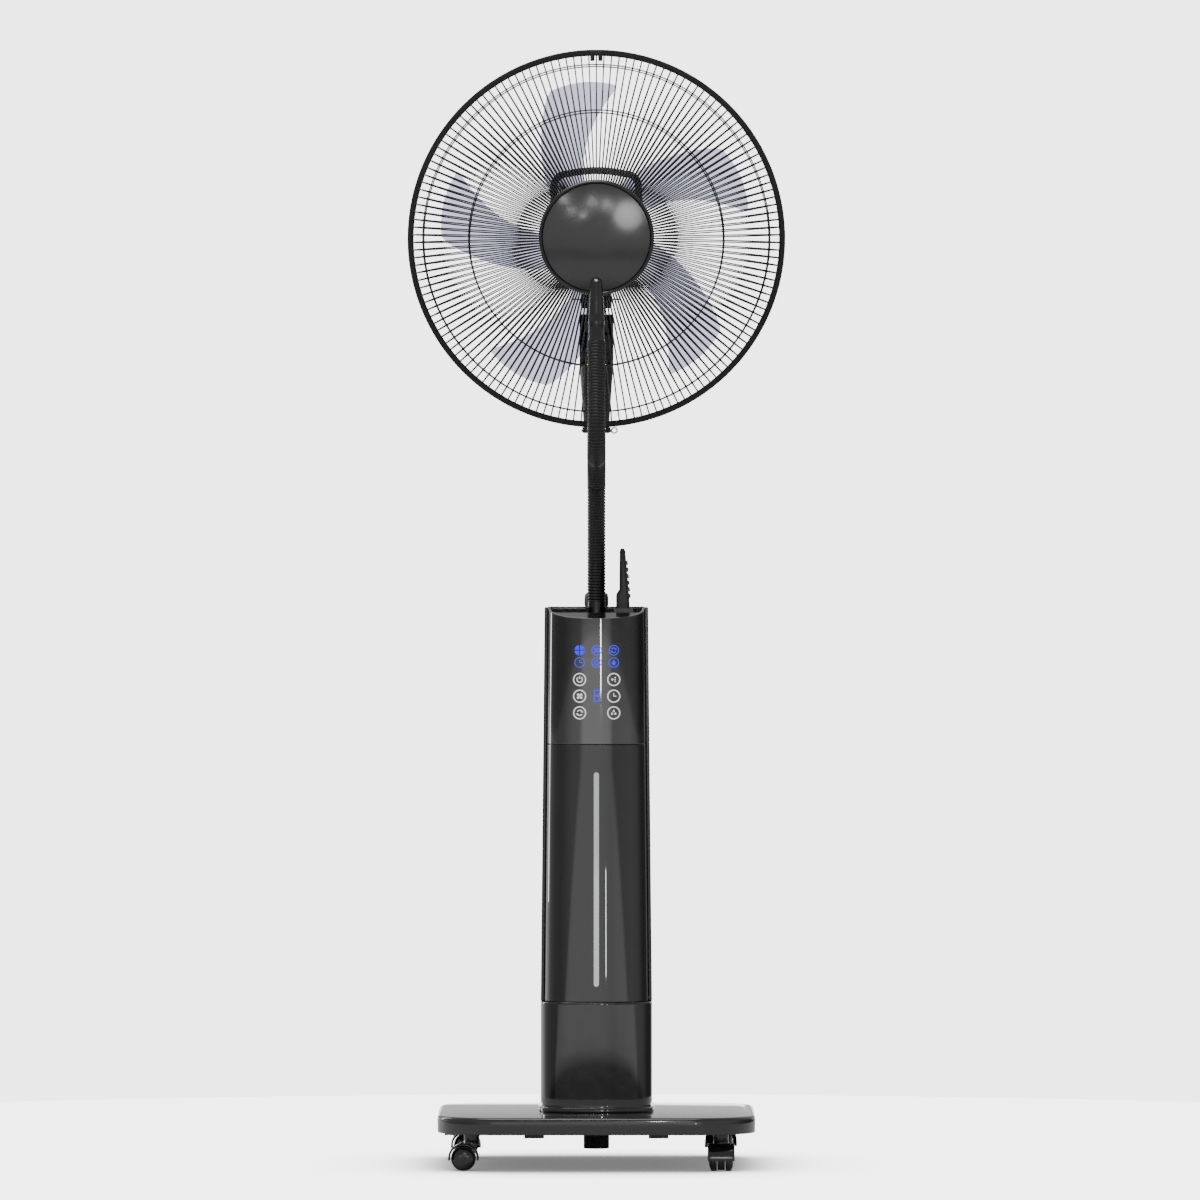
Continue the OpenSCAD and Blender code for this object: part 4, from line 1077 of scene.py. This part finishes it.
def build_caster(corner, sx, sy, turn, braked):
    """Twin wheels under a hood that swivels on its stem, with a brake lever on the rear ones."""
    place = Matrix.Translation((sx * STEM_X, sy * STEM_Y, 0)) @ Matrix.Rotation(math.radians(turn), 4, "Z")
    hood = caster_hood("caster_" + corner + "_hood", braked)
    wheels = wheel_pair("wheels_" + corner + "_pair")
    move(hood, place)
    move(wheels, place)
    put(hood, "caster_" + corner, "gloss_black", "caster_" + corner)
    put(wheels, "wheels_" + corner, "wheel_plastic", "wheels_" + corner)
    if braked:
        side = corner.split("_")[1]
        lever = brake_lever("brake_lever_" + side + "_pedal")
        move(lever, place)
        put(lever, "brake_" + side, "black_plastic", "brake_lever_" + side)


def build_casters():
    build_caster("front_left", -1, -1, 0, False)
    build_caster("front_right", 1, -1, 90, False)
    build_caster("rear_left", -1, 1, 0, True)
    build_caster("rear_right", 1, 1, 255, True)


# ---------------------------------------------------------------- pole, neck and collar
TILT_Z = (box("tilt_bolt")[0].z + box("tilt_bolt")[1].z) / 2
YOKE_TOP = 993.6
TONGUE_R = 13.8
EAR_R = 16.8


def build_collar():
    """Clamp ring with ribs to grip."""
    lo, hi = box("height_collar")
    h = hi.z - lo.z
    body = [(11.1, 0), (13.2, 0), (13.7, 0.5), (13.7, h - 3.0), (13.3, h - 1.6), (12.2, h - 0.5),
            (10.9, h - 0.05), (9.6, h - 0.05), (9.6, h - 3), (11.1, h - 3.4)]
    parts = [lathe("collar", body, SATIN, (0, POLE_Y, lo.z), axis="Z", closed=True)]
    for x, y in circle(13.55, 30):
        rings = [[(x + c, POLE_Y + y + s, lo.z + z) for c, s in circle(r, 8)]
                 for z, r in ((1.2, 0.25), (2, 0.55), (h - 5, 0.55), (h - 4, 0.2))]
        parts.append(ring_loft("knurl", rings, SATIN))
    put(join("collar_grip", parts), "collar", "black_plastic", "height_collar")


def build_neck():
    """Cone on the pole with the tongue that the tilt bolt passes through."""
    cone = [(9.6, 860.1), (13.6, 860.1), (14.4, 860.8), (14.6, 862.2), (15.0, 866), (14.5, 867), (15.2, 868),
            (17.2, 896), (19.4, 927), (19.8, 930), (19.6, 932.2), (18.6, 933.6), (9.6, 933.6)]
    parts = [lathe("cone", cone, SATIN, (0, POLE_Y, 0), axis="Z", closed=True)]
    tongue = [(-TONGUE_R, 931)] + arc(0, TILT_Z, TONGUE_R, 180, 0, 20) + [(TONGUE_R, 931)]
    rings = [[(x, POLE_Y + y * g, z) for y, z in tongue]
             for x, g in ((-6.9, 0.94), (-6.3, 1), (6.3, 1), (6.9, 0.94))]
    parts.append(ring_loft("tongue", rings, SATIN))
    put(join("neck_cone", parts), "pole", "black_plastic", "neck_socket")


def build_yoke():
    """Two ears with bosses under a plate."""
    side = arc(0, TILT_Z, EAR_R, -180, 0, 20)
    boss = [(6.4, 19.2), (6.4, 19.95), (9.2, 19.95), (9.6, 19.2)]
    parts = []
    for sx in (-1, 1):
        rings = []
        for x, g in ((7.4, 1), (18.8, 1), (19.6, 0.985), (19.9, 0.94)):
            ear = [(y * g, TILT_Z + (z - TILT_Z) * g) for y, z in side]
            ear += [(EAR_R * g, YOKE_TOP), (-EAR_R * g, YOKE_TOP)]
            rings.append([(sx * x, POLE_Y + y, z) for y, z in ear])
        parts.append(ring_loft("ear", rings, SATIN))
        parts.append(lathe("boss", [(a, sx * b) for a, b in boss], SATIN, (0, POLE_Y, TILT_Z), axis="X",
                           segments=40, closed=True))
    parts.append(block("yoke", (-19.8, POLE_Y - EAR_R, TILT_Z + 15.4),
                       (19.8, POLE_Y + EAR_R, YOKE_TOP + 0.3), SATIN, 1.6, 4))
    put(join("tilt_yoke", parts), "neck", "black_plastic", "tilt_bracket")


# ---------------------------------------------------------------- mist hose and nozzle
ROUTE = [(-146, 960.2), (-146, 915), (-146, 872), (-142, 853), (-133, 839), (-119, 829), (-100, 826),
         (-60, 826), (-21, 826), (-2, 822), (12, 812), (21, 797), (25, 780), (25, 720), (25, 657.5)]
PITCH = 3.5
RING_STEPS = 6
HOSE_R = 10.5
RING_RISE = 0.45
LEVEL_Z = 820


def smooth_route():
    """Even steps of a sixth of a corrugation along a curve through the route, from column to nozzle."""
    pts = [Vector((0, y, z)) for y, z in ROUTE[::-1]]
    dense = []
    for i in range(len(pts) - 1):
        p0, p1, p2, p3 = pts[max(i - 1, 0)], pts[i], pts[i + 1], pts[min(i + 2, len(pts) - 1)]
        for k in range(24):
            t = k / 24
            dense.append(0.5 * (2 * p1 + (p2 - p0) * t + (2 * p0 - 5 * p1 + 4 * p2 - p3) * t * t
                                + (3 * p1 - p0 - 3 * p2 + p3) * t ** 3))
    dense.append(pts[-1])
    step = PITCH / RING_STEPS
    even, run = [dense[0]], 0.0
    for a, b in zip(dense, dense[1:]):
        length = (b - a).length
        while run + length >= step:
            a = a + (b - a) * ((step - run) / length)
            length = (b - a).length
            even.append(a.copy())
            run = 0.0
        run += length
    even.append(dense[-1])
    return even


def hose_section(i):
    wave = math.cos(TAU * i / RING_STEPS)
    return circle(HOSE_R + RING_RISE * math.copysign(abs(wave) ** 0.7, wave), 22)


def build_hose():
    """Corrugated hose swept in three stretches along one curved route."""
    line = smooth_route()
    cut_low = next(i for i, p in enumerate(line) if p.y < -4 and p.z > LEVEL_Z)
    cut_high = next(i for i, p in enumerate(line) if p.y < -58 and p.z > LEVEL_Z)
    spans = [("hose_lower", 0, cut_low, "stand", "pole", (0, 0.025, 0.66), (0, 0.025, 0.80)),
             ("hose_middle", cut_low, cut_high, "pole", "neck", (0, -0.004, 0.826), (0, -0.056, 0.826)),
             ("hose_upper", cut_high, len(line) - 1, "neck", "head", (0, -0.058, 0.826), (0, -0.136, 0.826))]
    for name, first, last, a, b, start, end in spans:
        tube = sweep(name, line[first:last + 1], lambda i, first=first: hose_section(i + first), HOSE,
                     caps=name != "hose_middle", angle=60, up=(1, 0, 0))
        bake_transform(tube)
        if name == "hose_lower":
            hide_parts("mist_hose")


def build_nozzle():
    """Tapered pipe with a jet at its tip and a clip behind."""
    lo, hi = box("mist_nozzle")
    y = ROUTE[0][0]
    base = lo.z
    tip = hi.z
    shape = [(5.2, base), (8.8, base), (9.3, base + 0.6), (9.3, base + 5), (8.9, base + 5.6),
             (8.9, base + 6.6), (9.3, base + 7.2), (9.3, base + 29.6), (9.0, base + 30.4), (8.9, base + 32),
             (8.5, base + 42), (7.8, base + 56), (7.0, base + 67)]
    shape += arc(0, tip - 7, 7, 6, 83, 11) + [(0, tip)]
    jet = [(0, 0.3), (1.3, 0.3), (1.5, 0), (1.5, -1.2), (0, -1.2)]
    outlet = lathe("outlet", jet, WHITE, axis="Z", segments=24)
    aim = Matrix.Rotation(math.radians(62), 4, "X")
    move(outlet, Matrix.Translation((0, y, tip - 7)) @ aim @ Matrix.Translation((0, 0, 7)))
    parts = [lathe("nozzle", shape, GLOSS_BLACK, (0, y, 0), axis="Z", segments=64), outlet,
             block("clip_arm", (-4.8, y + 6, 973.2), (4.8, hi.y - 0.5, 981.8), SATIN, 1),
             block("clip_plate", (-13.8, hi.y - 2, 971.2), (13.8, hi.y - 0.1, 983.8), SATIN, 0.7)]
    put(join("nozzle_pipe", parts), "head", "black_plastic", "mist_nozzle")


# ---------------------------------------------------------------- remote control
FACE = Matrix.Translation((39, 20, 650)) @ Matrix.Rotation(math.radians(-4.74), 4, "Y")
KEYS = 6
KEY_FIRST = 14.2
KEY_PITCH = 7.7
WELL_HALF = 5.5
WELL_LOW = KEY_FIRST - 3.4
WELL_HIGH = KEY_FIRST + (KEYS - 1) * KEY_PITCH + 3.4
PLATE_TOP = 61
PLATE_HALF = 12.8


def on_face(u, v, lift=0.1):
    return FACE @ Vector((lift, u, v))


def remote_case():
    """Wedge with softly bowed sides and a well for the keys."""
    low = box("remote_body")[0].z
    levels = [(0.1, 27.5, 34.5, 17.2), (0.6, 26, 36.5, 18.2), (3, 23.3, 38.8, 19.0), (8, 23, 39, 19.6),
              (24, 23, 39, 20.6), (44, 23, 39, 21.2), (58, 23, 38.34, 21.2), (60.5, 23.4, 38.13, 21.1),
              (63, 25, 37.92, 21), (65.4, 26.8, 37.72, 20.9), (80, 26.9, 36.5, 20.2),
              (100, 27.1, 34.8, 18.9), (110.5, 27.2, 33.9, 18.0), (112.4, 27.9, 33.0, 17.4),
              (113.6, 28.8, 31.8, 16.4)]
    rings = []
    for h, back, front, half in levels:
        thick = front - back
        shape = rounded_rect(thick, 2 * half, min(3.0, thick * 0.45), 6)
        rings.append([((back + front) / 2 + a, 20 + b, low + h) for a, b in shape])
    body = ring_loft("remote_case", rings, CASE)
    well = block("well", (-4.2, -WELL_HALF, WELL_LOW), (3, WELL_HALF, WELL_HIGH), RUBBER, 0.4, 2)
    apply_modifiers(well)
    move(well, FACE)
    carve(body, well)
    return body


def key_plate():
    """Grey plate round the well, with a round lower end."""
    left = [(-PLATE_HALF - 0.5 * math.sin(math.pi * k / 10), PLATE_TOP - 2 - 4 * k) for k in range(11)]
    low = arc(0, PLATE_TOP - 42, PLATE_HALF, 180, 360, 15)[1:-1]
    rim = [(-11.6, PLATE_TOP)] + left + low + [(-u, v) for u, v in left[::-1]] + [(11.6, PLATE_TOP)]
    pieces = []
    for side in (-1, 1):
        strip = sorted([p for p in rim if p[0] * side > WELL_HALF], key=lambda p: p[1])
        verts = []
        for u, v in strip:
            verts += [on_face(side * WELL_HALF, v), on_face(u, v)]
        faces = [[2 * i, 2 * i + 1, 2 * i + 3, 2 * i + 2] for i in range(len(strip) - 1)]
        pieces.append(make("plate", verts, faces, KEY_GREY, False))
    end = sorted(p for p in rim if p[1] < WELL_LOW and abs(p[0]) <= WELL_HALF + 0.1)
    lower = [(-WELL_HALF, WELL_LOW)] + end + [(WELL_HALF, WELL_LOW)]
    upper = [(-WELL_HALF, WELL_HIGH), (WELL_HALF, WELL_HIGH), (WELL_HALF, PLATE_TOP),
             (-WELL_HALF, PLATE_TOP)]
    for outline in (lower, upper):
        pieces.append(decal("plate", [blob(outline)], KEY_GREY, on_face))
    return pieces


def build_remote():
    """Black wedge with a grey key plate and six stepped keys."""
    signs = []
    for i, kind in enumerate(("drops", "clock", "dots", "swing", "fan", "power")):
        sign = [stroke(arc(0, 0, 2.3, steps=20), 0.38)] + glyph(kind, 1.7)
        signs += moved(sign, 9.2, KEY_FIRST + i * KEY_PITCH)
    marks = decal("remote_signs", signs, RUBBER, lambda u, v: on_face(u, v, 0.16))
    shell = join("remote_shell", [remote_case()] + key_plate() + [marks])
    put(shell, "remote", "gloss_black", "remote_body")
    for i in range(KEYS):
        rings = []
        for x, grow, lift in ((-1.5, 1, 0), (1.0, 1, 0), (1.8, 0.94, -0.1), (2.15, 0.82, -0.3),
                              (2.25, 0.55, -0.5)):
            shape = rounded_rect(9.6 * grow, 5.2 * grow, 1.2, 5)
            rings.append([on_face(a, KEY_FIRST + i * KEY_PITCH + b + lift, x) for a, b in shape])
        number = str(i + 1)
        put(ring_loft("remote_key_" + number, rings, RUBBER), "button_" + number, "black_rubber",
            "remote_button_" + number)
    dress(GLOSS_BLACK, "remote_dock")


def dress_inside():
    """CAD nodes that keep their shape."""
    dress(TUBE, "pole_outer_tube", "inner_pole")
    dress(STEEL, "tilt_bolt", "column_screws")
    dress(WHITE, "nebulizer_basin", "mist_duct", "blower_impeller", "tank_valve")
    dress(SATIN, "blower_housing")
    dress(TANK, "water_tank")
    dress(BOARD, "display_board")
    dress(MATTE, "cord_inlet")


build_guards()
build_hoop()
build_clips()
build_badge()
build_blades()
build_spinner_nut()
build_motor()
build_handle()
build_lower_housing()
build_column_shell()
build_front_covers()
build_icons()
build_base()
build_casters()
build_collar()
build_neck()
build_yoke()
build_hose()
build_nozzle()
build_remote()
dress_inside()
build_camera()
studio()
